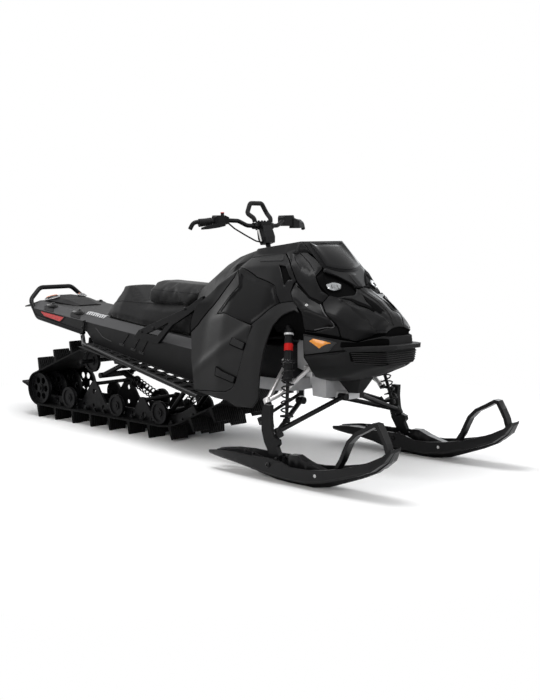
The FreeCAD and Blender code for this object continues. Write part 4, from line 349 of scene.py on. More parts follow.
amber = surface("amber_reflector", (0.86, 0.30, 0.02), 0.22, mottle=0.06, grain=300.0, grain_height=0.0003,
                brushed=(1.0, 1.0, 3.0), coat=0.4, level=0.4)
red_lens = surface("red_reflector", (0.52, 0.012, 0.012), 0.24, mottle=0.06, grain=320.0, grain_height=0.0003,
                   brushed=(1.0, 1.0, 3.0), coat=0.4, level=0.4)
orange_lens = surface("orange_lens", (0.82, 0.22, 0.05), 0.25, mottle=0.06, grain=400.0, grain_height=0.0002,
                      coat=0.4)
pale_trim = surface("pale_trim", 0.62, 0.32, mottle=0.05)
red_paint = surface("red_band", (0.48, 0.008, 0.007), 0.45, mottle=0.06)

NODE_FINISHES = (
    (rubber, "track"), (vinyl, "seat"), (textile, "storage_box"), (webbing, "mountain_strap"), (lens, "headlights"),
    (smoke, "windshield"), (engine_metal, "engine"), (cast_metal, "bulkhead"), (silver_tube, "upper_wishbones"),
    (panel_gloss, "hood"), (panel_deep, "console hood_top"), (panel_satin, "side_panel_right side_panel_left"),
    (panel_grained, "side_inserts belly_pan"), (tunnel_metal, "tunnel running_boards"),
    (ski_plastic, "ski_right ski_left"), (soft_rubber, "control_cable snow_flap grips"),
    (black_plastic, "rear_wheels bogie_wheels upper_wheels drive_axle tail_housing bar_controls"),
    (black_metal, "slide_rails rear_skid_arm front_skid_arm skid_shocks rear_bumper frame_braces lower_wishbones "
                  "ski_shocks spindle_right spindle_left tie_rod_right tie_rod_left steering_post handlebar bar_clamp"),
)
for finish, names in NODE_FINISHES:
    for name in names.split():
        nodes[name].data.materials.clear()
        nodes[name].data.materials.append(finish)

# Rounded edges on the CAD metal and plastic
WELD_REACH = 0.00002
EDGE_WIDTH, EDGE_TURN = 0.0016, math.radians(38.0)
for name, item in nodes.items():
    item.modifiers.new("weld", "WELD").merge_threshold = WELD_REACH
    if name == "track":
        continue
    bevel = item.modifiers.new("edge", "BEVEL")
    bevel.width = EDGE_WIDTH
    bevel.segments = 2
    bevel.limit_method = "ANGLE"
    bevel.angle_limit = EDGE_TURN
    bevel.harden_normals = True


# ---------------------------------------------------------------- mesh helpers
def link(name, mesh, finish, body, smooth_angle=32.0):
    for polygon in mesh.polygons:
        polygon.use_smooth = True
    mesh.set_sharp_from_angle(angle=math.radians(smooth_angle))
    item = bpy.data.objects.new(name, mesh)
    scene.collection.objects.link(item)
    mesh.materials.append(finish)
    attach(item, body)
    return item


def turn_outward(mesh, weld=None):
    """Turns all faces outwards, after points within the weld distance are joined."""
    work = bmesh.new()
    work.from_mesh(mesh)
    if weld:
        bmesh.ops.remove_doubles(work, verts=work.verts, dist=weld)
    bmesh.ops.recalc_face_normals(work, faces=work.faces)
    work.to_mesh(mesh)
    work.free()


def mesh_from(name, verts, faces):
    mesh = bpy.data.meshes.new(name)
    mesh.from_pydata([tuple(v) for v in verts], [], [tuple(f) for f in faces])
    mesh.validate()
    turn_outward(mesh)
    mesh.update()
    return mesh


def merged(name, parts, finish, body="chassis"):
    """One object from several (verts, faces) lists that needn't touch."""
    verts, faces = [], []
    for part_verts, part_faces in parts:
        start = len(verts)
        verts += [tuple(v) for v in part_verts]
        faces += [tuple(index + start for index in face) for face in part_faces]
    return link(name, mesh_from(name, verts, faces), finish, body)


def ringed(rings, closed=False, flip=False):
    """A skin over rings of equally many points, with flat ends where it isn't closed on itself."""
    total, count = len(rings), len(rings[0])
    faces = []
    for row in range(total if closed else total - 1):
        here, there = row * count, (row + 1) % total * count
        for step in range(count):
            after = (step + 1) % count
            faces.append((here + step, here + after, there + after, there + step))
    if not closed:
        ends = [tuple(range(count))[::-1], tuple(range((total - 1) * count, total * count))]
        faces += [face[::-1] for face in ends] if flip else ends
    return [point for ring in rings for point in ring], faces


def turns(count):
    """The (cosine, sine) pairs of one turn in equal steps."""
    return [(math.cos(2 * math.pi * step / count), math.sin(2 * math.pi * step / count)) for step in range(count)]


def any_across(axis):
    """A direction square to the axis."""
    return axis.cross(Vector((0, 0, 1) if abs(axis.z) < 0.9 else (1, 0, 0))).normalized()


def lathe(place, axis, profile, count=24):
    """A turned shape: profile is (distance along, radius) pairs."""
    place, axis = Vector(place), Vector(axis).normalized()
    across = any_across(axis)
    other = axis.cross(across)
    return ringed([[place + axis * along + (across * c + other * s) * radius for c, s in turns(count)]
                   for along, radius in profile], flip=True)


def bolt(place, axis, radius, height):
    """A domed button head with a recess."""
    shares = ((0.0, 1.0), (0.35, 1.0), (0.75, 0.86), (1.0, 0.6), (1.0, 0.42), (0.5, 0.36))
    return lathe(place, Vector(axis).normalized(), [(height * up, radius * out) for up, out in shares], 20)


def sweep(points, radius, count=8, closed=False, flat=1.0):
    """A bar along a smooth line of points."""
    points = [Vector(p) for p in points]
    last = len(points) - 1
    rings, across = [], None
    for index, point in enumerate(points):
        if closed:
            along = points[(index + 1) % len(points)] - points[index - 1]
        else:
            along = points[min(index + 1, last)] - points[max(index - 1, 0)]
        along.normalize()
        across = any_across(along) if across is None else (across - along * across.dot(along)).normalized()
        other = along.cross(across)
        rings.append([point + (across * c + other * s * flat) * radius for c, s in turns(count)])
    return ringed(rings, closed)


def smooth_line(points, per):
    """A Catmull-Rom line through points."""
    points = [Vector(p) for p in points]
    line = []
    for index in range(len(points) - 1):
        p0 = points[max(index - 1, 0)]
        p1, p2 = points[index], points[index + 1]
        p3 = points[min(index + 2, len(points) - 1)]
        for step in range(per):
            t = step / per
            line.append(0.5 * (2 * p1 + (p2 - p0) * t + (2 * p0 - 5 * p1 + 4 * p2 - p3) * t * t
                               + (3 * p1 - p0 - 3 * p2 + p3) * t ** 3))
    return line + [points[-1]]


def rounded(points, radius, share=0.45):
    """A closed outline with each corner rounded, over no more than that share of either side."""
    points = [Vector(p) for p in points]
    out = []
    for index, corner in enumerate(points):
        a, b = points[index - 1] - corner, points[(index + 1) % len(points)] - corner
        reach = min(radius, a.length * share, b.length * share)
        start, end = corner + a.normalized() * reach, corner + b.normalized() * reach
        for t in (0.0, 0.25, 0.5, 0.75, 1.0):
            out.append(start * (1 - t) ** 2 + corner * 2 * t * (1 - t) + end * t * t)
    return out


def prism(points, direction, height, roll=0.001):
    """A raised plate on a flat outline, with a rolled edge."""
    points = [Vector(p) for p in points]
    direction = Vector(direction).normalized()
    centre = sum(points, Vector()) / len(points)
    return ringed([points, [p + direction * (height - roll) for p in points],
                   [p + direction * height - (p - centre).normalized() * roll for p in points]])


def plane_of(along, normal):
    """Two directions and the normal of the plane square to normal, the first nearest to along."""
    normal, along = Vector(normal).normalized(), Vector(along)
    along = (along - normal * along.dot(normal)).normalized()
    return along, normal.cross(along), normal


def dome(centre, along, normal, half_long, half_wide, height):
    """A low oval dome."""
    count, rings = 28, 7
    centre = Vector(centre)
    along, across, normal = plane_of(along, normal)
    rows = []
    for ring in range(rings):
        angle = ring / rings * math.pi / 2
        size, rise = math.cos(angle), math.sin(angle) * height
        rows.append([centre + along * c * half_long * size + across * s * half_wide * size + normal * rise
                     for c, s in turns(count)])
    verts, faces = ringed(rows)
    verts += [centre + normal * height, centre - normal * 0.002]
    top, low, head = len(verts) - 2, len(verts) - 1, (rings - 1) * count
    faces = faces[:-2]
    for step in range(count):
        after = (step + 1) % count
        faces += [(head + step, head + after, top), (after, step, low)]
    return verts, faces


def oval(centre, along, normal, half_long, half_wide, start=0.0, end=1.0, count=32):
    """Points of an oval, or of the share of it from start to end."""
    along, across, _ = plane_of(along, normal)
    total = count + (0 if end - start >= 1.0 else 1)
    angles = [2 * math.pi * (start + (end - start) * step / count) for step in range(total)]
    return [Vector(centre) + along * math.cos(a) * half_long + across * math.sin(a) * half_wide for a in angles]


def hit_on(item, start, direction):
    """Where a straight line meets an object, and its normal there, or None."""
    back = item.matrix_world.inverted()
    hit, place, normal, _ = item.ray_cast(back @ Vector(start), (back.to_3x3() @ Vector(direction)).normalized())
    return (item.matrix_world @ place, (item.matrix_world.to_3x3() @ normal).normalized()) if hit else None


# ---------------------------------------------------------------- body skins
class Skin:
    """A smooth hull through outlines across X; s runs from 0 on the middle plane to 1 at the low edge."""
    X_STEPS, S_STEPS = 260, 240
    PROBE, MIDDLE_HEIGHT = 0.003, 0.55

    def __init__(self, stations, soft_x, soft_s, reach=0.03):
        xs = [x / 1000.0 for x, _ in stations]
        rows = [np.array(points, float) / 1000.0 for _, points in stations]
        lengths = np.mean([np.hypot(*np.diff(row, axis=0).T) for row in rows], axis=0)
        knots = np.concatenate([[0.0], np.cumsum(lengths)])
        self.length = float(knots[-1])
        knots = knots / knots[-1]
        first = rows[0] + (rows[0] - rows[1]) * reach / (xs[1] - xs[0])
        last = rows[-1] + (rows[-1] - rows[-2]) * reach / (xs[-1] - xs[-2])
        xs = [xs[0] - reach] + xs[1:-1] + [xs[-1] + reach]
        rows = [first] + rows[1:-1] + [last]
        self.x = np.linspace(xs[0], xs[-1], self.X_STEPS)
        self.s = np.linspace(0.0, 1.0, self.S_STEPS)
        self.dx, self.ds = self.x[1] - self.x[0], self.s[1] - self.s[0]
        grid = np.zeros((self.X_STEPS, self.S_STEPS, 2))
        across = np.array([[np.interp(self.s, knots, row[:, k]) for k in (0, 1)] for row in rows])
        for k in (0, 1):
            for j in range(self.S_STEPS):
                grid[:, j, k] = np.interp(self.x, xs, across[:, k, j])
        grid = self.blurred(grid, 0, soft_x / self.dx)
        self.grid = self.blurred(grid, 1, soft_s / self.length / self.ds)

    @staticmethod
    def blurred(grid, axis, window):
        """A running mean, straight on past the ends, and mirrored at the middle plane."""
        reach = max(1, int(round(window)))
        padded = np.moveaxis(grid, axis, 0)
        head = 2 * padded[:1] - padded[reach:0:-1]
        if axis == 1:
            head = padded[reach:0:-1] * np.array([-1.0, 1.0])
        tail = 2 * padded[-1:] - padded[-2:-reach - 2:-1]
        full = np.concatenate([head, padded, tail])
        total = np.cumsum(np.concatenate([np.zeros_like(full[:1]), full]), axis=0)
        width = 2 * reach + 1
        out = (total[width:] - total[:-width]) / width
        return np.moveaxis(out, 0, axis)

    def yz(self, x, s):
        i = np.clip((x - self.x[0]) / self.dx, 0, self.X_STEPS - 1.001)
        j = np.clip(abs(s) / self.ds, 0, self.S_STEPS - 1.001)
        a, b = int(i), int(j)
        u, v = i - a, j - b
        g = self.grid
        return (g[a, b] * (1 - u) * (1 - v) + g[a + 1, b] * u * (1 - v) + g[a, b + 1] * (1 - u) * v
                + g[a + 1, b + 1] * u * v)

    def point(self, x, s):
        y, z = self.yz(x, s)
        return Vector((x, y if s > 0 else -y, z))

    def normal(self, x, s):
        along = self.point(x + self.PROBE, s) - self.point(x - self.PROBE, s)
        around = self.point(x, s + self.PROBE) - self.point(x, s - self.PROBE)
        out = along.cross(around).normalized()
        centre = Vector((x, 0.0, self.MIDDLE_HEIGHT))
        return out if out.dot(self.point(x, s) - centre) > 0 else -out

    def row(self, x):
        """The (y, z) points of the outline at x."""
        return self.grid[int(np.clip(round((x - self.x[0]) / self.dx), 0, self.X_STEPS - 1))]

    def s_at(self, x, z):
        """The s at which the outline at x has height z."""
        heights = self.row(x)[:, 1]
        sign = 1.0 if heights[-1] > heights[0] else -1.0
        return float(np.interp(sign * z, np.maximum.accumulate(sign * heights), self.s))

    def s_out(self, x, y):
        """The first s at which the outline at x is y away from the middle plane."""
        return float(np.interp(y, np.maximum.accumulate(self.row(x)[:, 0]), self.s))

    def trace(self, outline, side):
        """Outline corners in millimetres, as (x, s) on one side. The second number is the height, or, where it is
        below zero, the distance from the middle plane."""
        corners = [(x / 1000.0, other / 1000.0) for x, other in outline]
        return [(x, side * (self.s_at(x, other) if other > 0 else self.s_out(x, -other))) for x, other in corners]


def edges_of(polygon):
    """Each corner of a closed outline, after the one before it."""
    return zip(polygon[-1:] + polygon[:-1], polygon)


def inside(point, polygon):
    x, y = point
    found = False
    for (x0, y0), (x1, y1) in edges_of(polygon):
        if (y0 > y) != (y1 > y) and x < (x1 - x0) * (y - y0) / (y1 - y0) + x0:
            found = not found
    return found


def moved_in(polygon, gap):
    """A closed outline moved inwards."""
    twice_area = sum(x0 * y1 - x1 * y0 for (x0, y0), (x1, y1) in edges_of(polygon))
    sign = 1.0 if twice_area > 0 else -1.0
    out = []
    count = len(polygon)
    for index in range(count):
        (x0, y0), (x1, y1), (x2, y2) = polygon[index - 1], polygon[index], polygon[(index + 1) % count]
        a = math.hypot(x1 - x0, y1 - y0) or 1e-9
        b = math.hypot(x2 - x1, y2 - y1) or 1e-9
        n0 = (-(y1 - y0) / a * sign, (x1 - x0) / a * sign)
        n1 = (-(y2 - y1) / b * sign, (x2 - x1) / b * sign)
        scale = gap / max(0.35, 1.0 + n0[0] * n1[0] + n0[1] * n1[1])
        out.append((x1 + (n0[0] + n1[0]) * scale, y1 + (n0[1] + n1[1]) * scale))
    return out


def resampled(polygon, spacing):
    """A closed outline with points at about even steps, none of them crowded."""
    out = []
    for a, b in edges_of([Vector(p) for p in polygon]):
        steps = max(1, int(round((b - a).length / spacing)))
        for point in (a.lerp(b, step / steps) for step in range(steps)):
            if not out or (point - Vector(out[-1])).length > spacing * CROWDED:
                out.append(tuple(point))
    return out


CROWDED = 0.15                     # points nearer than this share of their spacing are dropped
PANEL_GAP = 0.0014                 # half of the seam between two panels
ROW_SHARE = 0.87                   # how far apart a panel's rows of points lie, as a share of their spacing
LEDGE = 0.0035                     # width of a plateau's slope
PLATEAU_CORNER = 0.004


def panel(name, skin, outline, finish, lift=0.0, depth=0.0090, roll=0.0022, spacing=0.011, corner=0.008,
          holes=(), shape=None, plateaus=()):
    """A moulded panel over part of a skin, its edges rolled in, with a closed back.
    outline: (x, s) corners on one side, or across both; shape(x, s) lifts it locally; a plateau is an outline
    inside it with its own height and crisp edges."""
    scale = skin.length

    def spaced(corners, radius, pitch):
        return resampled(rounded(corners, radius, 0.4), pitch)

    def flat(corners):
        return [(x, s * scale) for x, s in corners]

    def clearance(point, ring):
        return min((Vector(point) - Vector(other)).length for other in ring)

    rim = spaced(moved_in(flat(outline), PANEL_GAP), corner, spacing)
    inner = moved_in(rim, roll)
    verts2, edges, ring_of = [], [], {}

    def add_ring(ring, tag):
        start = len(verts2)
        for index, point in enumerate(ring):
            verts2.append(Vector(point))
            edges.append((start + index, start + (index + 1) % len(ring)))
            ring_of[start + index] = tag

    add_ring(rim, "rim")
    add_ring(inner, "inner")
    hole_rings = [spaced(flat(hole), corner * 0.6, spacing * 0.7) for hole in holes]
    for ring in hole_rings:
        add_ring(ring, "rim")
        add_ring(moved_in(ring, -roll), "inner")
    steps = []
    for outline_in, height_in in plateaus:
        ring = spaced(flat(outline_in), PLATEAU_CORNER, spacing * 0.8)
        ledge = moved_in(ring, LEDGE)
        add_ring(ring, "foot")
        add_ring(ledge, ("ledge", len(steps)))
        steps.append((ring, ledge, height_in))
    kept_off = [moved_in(ring, -roll * 1.5) for ring in hole_rings]
    lines = [inner] + [ring + ledge for ring, ledge, _ in steps]
    xs, ys = zip(*rim)
    row, odd = min(ys), 0
    while row < max(ys):
        column = min(xs) + (spacing / 2 if odd else 0.0)
        while column < max(xs):
            point = (column, row)
            if inside(point, inner) and not any(inside(point, ring) for ring in kept_off):
                if min(clearance(point, line) for line in lines) > spacing * 0.5:
                    verts2.append(Vector(point))
            column += spacing
        row += spacing * ROW_SHARE
        odd = 1 - odd
    points2, _, triangles, origins, _, _ = geometry.delaunay_2d_cdt(verts2, edges, [], 0, 1e-7, True)
    keep = []
    for triangle in triangles:
        centre = sum((points2[i] for i in triangle), Vector((0.0, 0.0))) / 3.0
        if inside(centre, rim) and not any(inside(centre, ring) for ring in hole_rings):
            keep.append(tuple(triangle))
    top, low = [], []
    for index, point in enumerate(points2):
        tags = {ring_of.get(origin) for origin in origins[index]}
        x, s = point[0], point[1] / scale
        normal = skin.normal(x, s)
        height = lift + (shape(x, s) if shape else 0.0)
        for step, (ring, ledge, height_in) in enumerate(steps):
            if ("ledge", step) in tags or ("foot" not in tags and inside(point, ledge)):
                height += height_in
        place = skin.point(x, s) + normal * height
        top.append(place - normal * (roll if "rim" in tags else 0.0))
        low.append(skin.point(x, s) - normal * depth)
    used = sorted({index for triangle in keep for index in triangle})
    number = {old: new for new, old in enumerate(used)}
    verts = [top[i] for i in used] + [low[i] for i in used]
    shift = len(used)
    faces = [tuple(number[i] for i in triangle) for triangle in keep]
    faces += [tuple(number[i] + shift for i in reversed(triangle)) for triangle in keep]
    border = {(number[triangle[i - 1]], number[triangle[i]]): None for triangle in keep for i in (1, 2, 0)}
    faces += [(b, a, a + shift, b + shift) for a, b in border if (b, a) not in border]
    return link(name, mesh_from(name, verts, faces), finish, "chassis", 40.0)


def both_sides(name, skin, outline, finish, holes=(), plateaus=(), stands_for=None, **options):
    """The same panel on the right and on the left; outline as (x, z) in millimetres."""
    for label, side in SIDES:
        raised = [(skin.trace(ring, side), height) for ring, height in plateaus]
        made = panel(f"{name}_{label}", skin, skin.trace(outline, side), finish, plateaus=raised,
                     holes=[skin.trace(hole, side) for hole in holes], **options)
        if stands_for:
            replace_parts(made, stands_for.format(label))


def mirrored(skin, outline):
    """One outline over both sides of a skin, from its right half."""
    return skin.trace(outline, -1.0) + skin.trace(outline, 1.0)[::-1]


CABIN = Skin([
    (186.0, [(0, 960), (100, 930), (190, 882), (252, 850), (298, 792), (320, 705), (372, 500), (402, 330)]),
    (330.0, [(0, 1030), (100, 988), (200, 932), (270, 880), (300, 800), (330, 700), (380, 500), (405, 320)]),
    (480.0, [(0, 1066), (112, 1068), (152, 1029), (240, 972), (280, 892), (360, 746), (402, 520), (410, 300)]),
    (740.0, [(0, 1096), (145, 1097), (182, 1052), (248, 988), (304, 884), (375, 730), (396, 560), (396, 290)]),
    (817.0, [(0, 1106), (153, 1106), (188, 1060), (245, 986), (310, 868), (362, 750), (380, 600), (380, 300)]),
    (960.0, [(0, 1030), (140, 985), (196, 942), (232, 880), (282, 806), (312, 776), (318, 700), (318, 300)]),
], soft_x=0.024, soft_s=0.008)
NOSE = Skin([
    (744.0, [(0, 1096), (145, 1097), (182, 1053), (248, 988), (304, 884), (352, 790), (362, 750), (370, 720)]),
    (817.0, [(0, 1106), (153, 1106), (188, 1060), (245, 986), (310, 868), (346, 790), (356, 755), (362, 720)]),
    (905.0, [(0, 1045), (141, 1028), (193, 987), (237, 921), (293, 830), (308, 790), (302, 720), (296, 676)]),
    (962.0, [(0, 992), (138, 977), (200, 937), (240, 860), (270, 806), (300, 783), (297, 720), (292, 674)]),
    (1108.0, [(0, 862), (50, 858), (125, 826), (180, 795), (235, 760), (233, 738), (224, 715), (215, 652)]),
    (1187.0, [(0, 822), (50, 815), (98, 790), (150, 742), (190, 700), (187, 680), (180, 660), (170, 639)]),
    (1260.0, [(0, 765), (45, 760), (82, 733), (115, 710), (140, 690), (137, 683), (131, 676), (122, 668)]),
    (1303.0, [(0, 705), (40, 702), (76, 690), (84, 686), (92, 682), (94, 679), (95, 676), (95, 672)]),
], soft_x=0.007, soft_s=0.0035, reach=0.006)
BELLY = Skin([
    (960.0, [(0, 430), (100, 432), (205, 458), (288, 560), (291, 620), (290.5, 650), (290, 672)]),
    (1060.0, [(0, 438), (100, 440), (178, 466), (258, 580), (260, 616), (255, 640), (246, 657)]),
    (1130.0, [(0, 452), (80, 454), (158, 482), (214, 594), (210, 604), (202, 620), (200, 645)]),
    (1187.0, [(0, 472), (72, 474), (142, 504), (188, 596), (183, 605), (166, 614), (164, 636)]),
    (1230.0, [(0, 490), (66, 492), (128, 520), (165, 598), (160, 606), (138, 613), (134, 652)]),
    (1290.0, [(0, 512), (60, 514), (108, 532), (130, 600), (124, 606), (104, 612), (98, 668)]),
    (1318.0, [(0, 526), (54, 528), (94, 545), (108, 600), (102, 606), (86, 612), (80, 664)]),
], soft_x=0.016, soft_s=0.010, reach=0.006)

# Side panels, their inserts, flares and the hood band, as (x, z) corners in millimetres
INSERT = [(452, 971), (547, 963), (634, 932), (778, 896), (842, 815), (690, 706), (408, 744), (516, 884), (496, 923)]
LOWER = [(456, 966), (492, 922), (512, 883), (402, 744), (688, 706), (702, 702), (681, 654), (662, 595), (639, 514),
         (610, 432), (586, 392), (543, 369), (423, 361), (291, 354), (266, 456), (232, 563), (206, 640), (258, 681),
         (320, 755), (386, 823), (438, 900), (458, 930)]
FLARE = [(190, 700), (206, 768), (262, 820), (352, 898), (430, 966), (456, 968), (456, 932), (434, 902), (383, 826),
         (317, 758), (256, 684), (204, 642)]
SURROUND = [(842, 815), (917, 822), (953, 776), (925, 785), (875, 762), (828, 708), (804, 645), (785, 572), (765, 471),
            (757, 352), (717, 303), (607, 301), (548, 324), (420, 336), (300, 352), (423, 361), (543, 369), (586, 392),
            (610, 432), (639, 514), (662, 595), (681, 654), (702, 702), (690, 706)]
STRIP = [(456, 972), (483, 1022), (744, 1050), (842, 971), (880, 919), (870, 903), (874, 866), (903, 828), (917, 822),
         (842, 815), (778, 896), (634, 932), (547, 963)]
INSERT_FIELD = [(500, 948), (628, 916), (765, 884), (822, 816), (690, 722), (432, 750), (532, 884)]
SLOT = [(754, 994), (800, 988), (838, 944), (858, 926), (838, 922), (832, 898), (801, 941)]
POCKET = [(558, 1017), (747, 1040), (768, 1018), (760, 1010), (589, 1004)]
FOLD_START, FOLD_END = (0.312, 0.471), (0.694, 0.701)
FOLD_HEIGHT, FOLD_WIDTH, FOLD_SINK = 0.007, 0.030, 0.003
FOLD_FADE_X, FOLD_FADE = 0.25, 0.1


def lower_shape(x, s):
    """The fold that runs up the lower panel."""
    (x0, z0), (x1, z1) = FOLD_START, FOLD_END
    off = CABIN.yz(x, s)[1] - (z0 + (x - x0) * (z1 - z0) / (x1 - x0))
    fade = max(0.0, min(1.0, (x - FOLD_FADE_X) / FOLD_FADE))
    return FOLD_HEIGHT * math.exp(-(off / FOLD_WIDTH) ** 2) * fade - FOLD_SINK


def band(line, half):
    """The outline of a band of half that width each side of a line, in millimetres."""
    left, right = [], []
    for index, (x, z) in enumerate(line):
        before, after = line[max(0, index - 1)], line[min(len(line) - 1, index + 1)]
        along = Vector((after[0] - before[0], after[1] - before[1])).normalized()
        left.append((x - along.y * half, z + along.x * half))
        right.append((x + along.y * half, z - along.x * half))
    return left + right[::-1]


SEAM = [(820, 792), (700, 704), (681, 654), (662, 595), (639, 514), (610, 432), (586, 392), (543, 369), (423, 361),
        (300, 356)]
SLOT_MESH = [(750, 1000), (810, 992), (866, 930), (838, 890), (796, 936)]
STRAPS = (  # each strap and the dark outline round it, a painted shadow
    ([(578, 640), (668, 616), (656, 585), (559, 606)], [(570, 643), (672, 619), (658, 578), (552, 601)]),
    ([(478, 486), (527, 466), (610, 446), (597, 418), (470, 446)],
     [(470, 493), (530, 470), (616, 449), (600, 411), (462, 441)]),
)
CABIN_SIDE = "side_panel_{}"
both_sides("side_panel_lower", CABIN, LOWER, panel_matte, shape=lower_shape, spacing=0.012, stands_for=CABIN_SIDE)
both_sides("side_flare", CABIN, FLARE, panel_deep, lift=-0.003, stands_for=CABIN_SIDE)
both_sides("side_surround", CABIN, SURROUND, panel_matte, stands_for=CABIN_SIDE)
both_sides("side_strip", CABIN, STRIP, panel_satin, holes=[SLOT], stands_for=CABIN_SIDE)
# A dark band behind the lower seam, so that no daylight shows through it; its black is painted shade.
both_sides("side_seam_shade", CABIN, band(SEAM, 13.0), deep_black, lift=-0.0086, depth=0.0125, roll=0.001, corner=0.002)
both_sides("side_insert_upper", CABIN, INSERT, panel_deep, lift=-0.002, depth=0.012,
           plateaus=[(INSERT_FIELD, -0.0022)], stands_for="side_inserts")
both_sides("strip_pocket", CABIN, POCKET, panel_grained, lift=0.003, depth=0.004, roll=0.002)
both_sides("slot_mesh", CABIN, SLOT_MESH, deep_black, lift=-0.010, depth=0.018)
for number, (strap, shadow_outline) in enumerate(STRAPS):
    # A dark outline a little larger than each strap, showing below it: painted shadow.
    both_sides(f"strap_well_{number}", CABIN, shadow_outline, deep_black, lift=0.0052, depth=0.004, roll=0.0012, corner=0.006)
    both_sides(f"panel_strap_{number}", CABIN, strap, webbing, lift=0.0080, depth=0.001, roll=0.0012, corner=0.004)


# ---------------------------------------------------------------- hood, cheeks and lamps
CHEEK = [(746, 1053), (800, 1074), (848, 1066), (905, 1024), (953, 982), (956, 942), (981, 899), (1000, 872),
         (1033, 852), (1024, 818), (931, 872), (896, 904), (880, 921), (842, 973)]
CHEEK_FIELD = [(800, 1052), (846, 1047), (900, 1004), (938, 966), (926, 950), (880, 972), (838, 1012)]
WING = [(874, 866), (880, 917), (896, 900), (931, 868), (1024, 814), (1113, 716), (1008, 686), (968, 690), (958, 774),
        (919, 803), (902, 828)]
SILL = [(1010, 684), (1113, 714), (1123, 657), (1038, 674), (966, 682), (968, 688)]
RECESS = [(957, 941), (966, -157), (1071, -41), (1088, -56), (1098, -84), (1090, -104), (1066, 841), (1033, 853),
          (981, 900)]
HOOD_HALF = [(958, -147), (967, -155), (1071, -39), (1089, -54), (1100, -84), (1092, -106), (1067, 839), (1034, 851),
             (1025, 814), (1114, 715), (1124, 656), (1184, 643), (1249, 667), (1272, 680), (1302, -90)]
FACE = [(1078, 829), (1140, 802), (1222, 768), (1256, -64), (1296, -46), (1296, -84), (1270, 690), (1219, 736)]
GILL = [(1104, -47), (1154, -66), (1218, -74), (1250, -60), (1240, -26)]
SPINE = [(1012, -26), (1088, -26), (1236, -15), (1296, -32)]
BROW_SHADE = [(967, -153), (1068, -38), (1086, -52), (1080, -62), (1064, -56), (985, -140)]
CHEEK_GAP_SHADE = [(893, 900), (931, 874), (1023, 820), (1027, 809), (1018, 808), (932, 864), (890, 892)]
FACE_SLASH_SHADE = [(1072, 838), (1109, 832), (1150, 814), (1218, 777), (1215, 772), (1146, 804), (1108, 824), (1074, 832)]
WING_HIGHLIGHT = [(1022, 809), (1060, 768), (1103, 717), (1060, 705), (1012, 693)]
GILL_SHADE = [(1112, -50), (1154, -63), (1214, -70), (1244, -58), (1232, -30)]
BROW_LINE_SHADE = [(1072, -44), (1078, -3), (1088, -3), (1086, -50)]
PAINTED_SHADE_LINES = (  # painted shade under the hood's brow and in its gaps, slots and recesses, and its height over the skin
    ("brow_line_shade", BROW_LINE_SHADE, 0.0062), ("brow_shade", BROW_SHADE, 0.0035), ("cheek_gap_shade", CHEEK_GAP_SHADE, 0.0045),
    ("face_slash_shade", FACE_SLASH_SHADE, 0.0105), ("gill_shade", GILL_SHADE, 0.0005),
)
BOWL_X, BOWL_Y, BOWL_REACH, BOWL_DEPTH = 1.036, 0.112, 0.085, 0.024
RIDGE_FADE = 0.03                  # a fold dies out over this far past its line's ends


def bowl(x, s):
    """The lamp recess sinks towards its middle."""
    y = NOSE.yz(x, s)[0]
    r = math.hypot((x - BOWL_X) / BOWL_REACH, (y - BOWL_Y) / BOWL_REACH)
    return -BOWL_DEPTH * max(0.0, 1.0 - r * r)


def ridge(skin, start, end, height, width, under=None):
    """A fold: the skin rises in a straight slope to a line from start to end, and falls away under it."""
    (x0, z0), (x1, z1) = start, end
    length = math.hypot(x1 - x0, z1 - z0)
    under = under or width

    def lift(x, v):
        z = skin.yz(x, v)[1]
        off = ((x - x0) * (z1 - z0) - (z - z0) * (x1 - x0)) / -length
        along = ((x - x0) * (x1 - x0) + (z - z0) * (z1 - z0)) / length
        fade = max(0.0, 1.0 - max(0.0, -along, along - length) / RIDGE_FADE)
        return height * fade * max(0.0, 1.0 - abs(off) / (width if off > 0 else under))
    return lift


wing_fold = ridge(NOSE, (0.880, 0.845), (1.100, 0.722), 0.012, 0.045, 0.030)
both_sides("cheek", NOSE, CHEEK, panel_satin, plateaus=[(CHEEK_FIELD, -0.0035)], stands_for="hood",
           shape=ridge(NOSE, (0.840, 0.990), (1.010, 0.850), 0.006, 0.050))
both_sides("wing", NOSE, WING, panel_satin, lift=0.001, spacing=0.008, shape=wing_fold, stands_for="hood")
both_sides("hood_sill", NOSE, SILL, panel_satin, lift=0.0005, stands_for="hood")
both_sides("lamp_well", NOSE, RECESS, deep_black, lift=-0.003, shape=bowl, depth=0.03, corner=0.003,
           stands_for="headlights")
folds = [(mirrored(NOSE, SPINE), 0.0035)]
for _, side in SIDES:
    folds += [(NOSE.trace(FACE, side), 0.0030), (NOSE.trace(GILL, side), -0.0045)]
hood_main = panel("hood_main", NOSE, mirrored(NOSE, HOOD_HALF), panel_satin, lift=0.0005, plateaus=folds,
                  spacing=0.009, shape=ridge(NOSE, (1.045, 0.850), (1.262, 0.735), 0.009, 0.030, 0.075))
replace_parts(hood_main, "hood")

# A thin raised bead along each wing's front edge: real relief, and its light grey is a painted highlight on that
# rounded edge.
wing_highlight_beads = []
for _, side in SIDES:
    line = [NOSE.point(x, v) + NOSE.normal(x, v) * (0.0015 + wing_fold(x, v)) for x, v in NOSE.trace(WING_HIGHLIGHT, side)]
    wing_highlight_beads.append(sweep(smooth_line(line, 5), 0.0026))
merged("wing_highlights", wing_highlight_beads, highlight_grey)
# Dark strips over the hood where its brow, gaps, slots and recesses fall into shadow: painted shade.
for label, outline, rise in PAINTED_SHADE_LINES:
    both_sides(label, NOSE, outline, deep_black, lift=rise, depth=0.009, roll=0.001, corner=0.004, spacing=0.008)

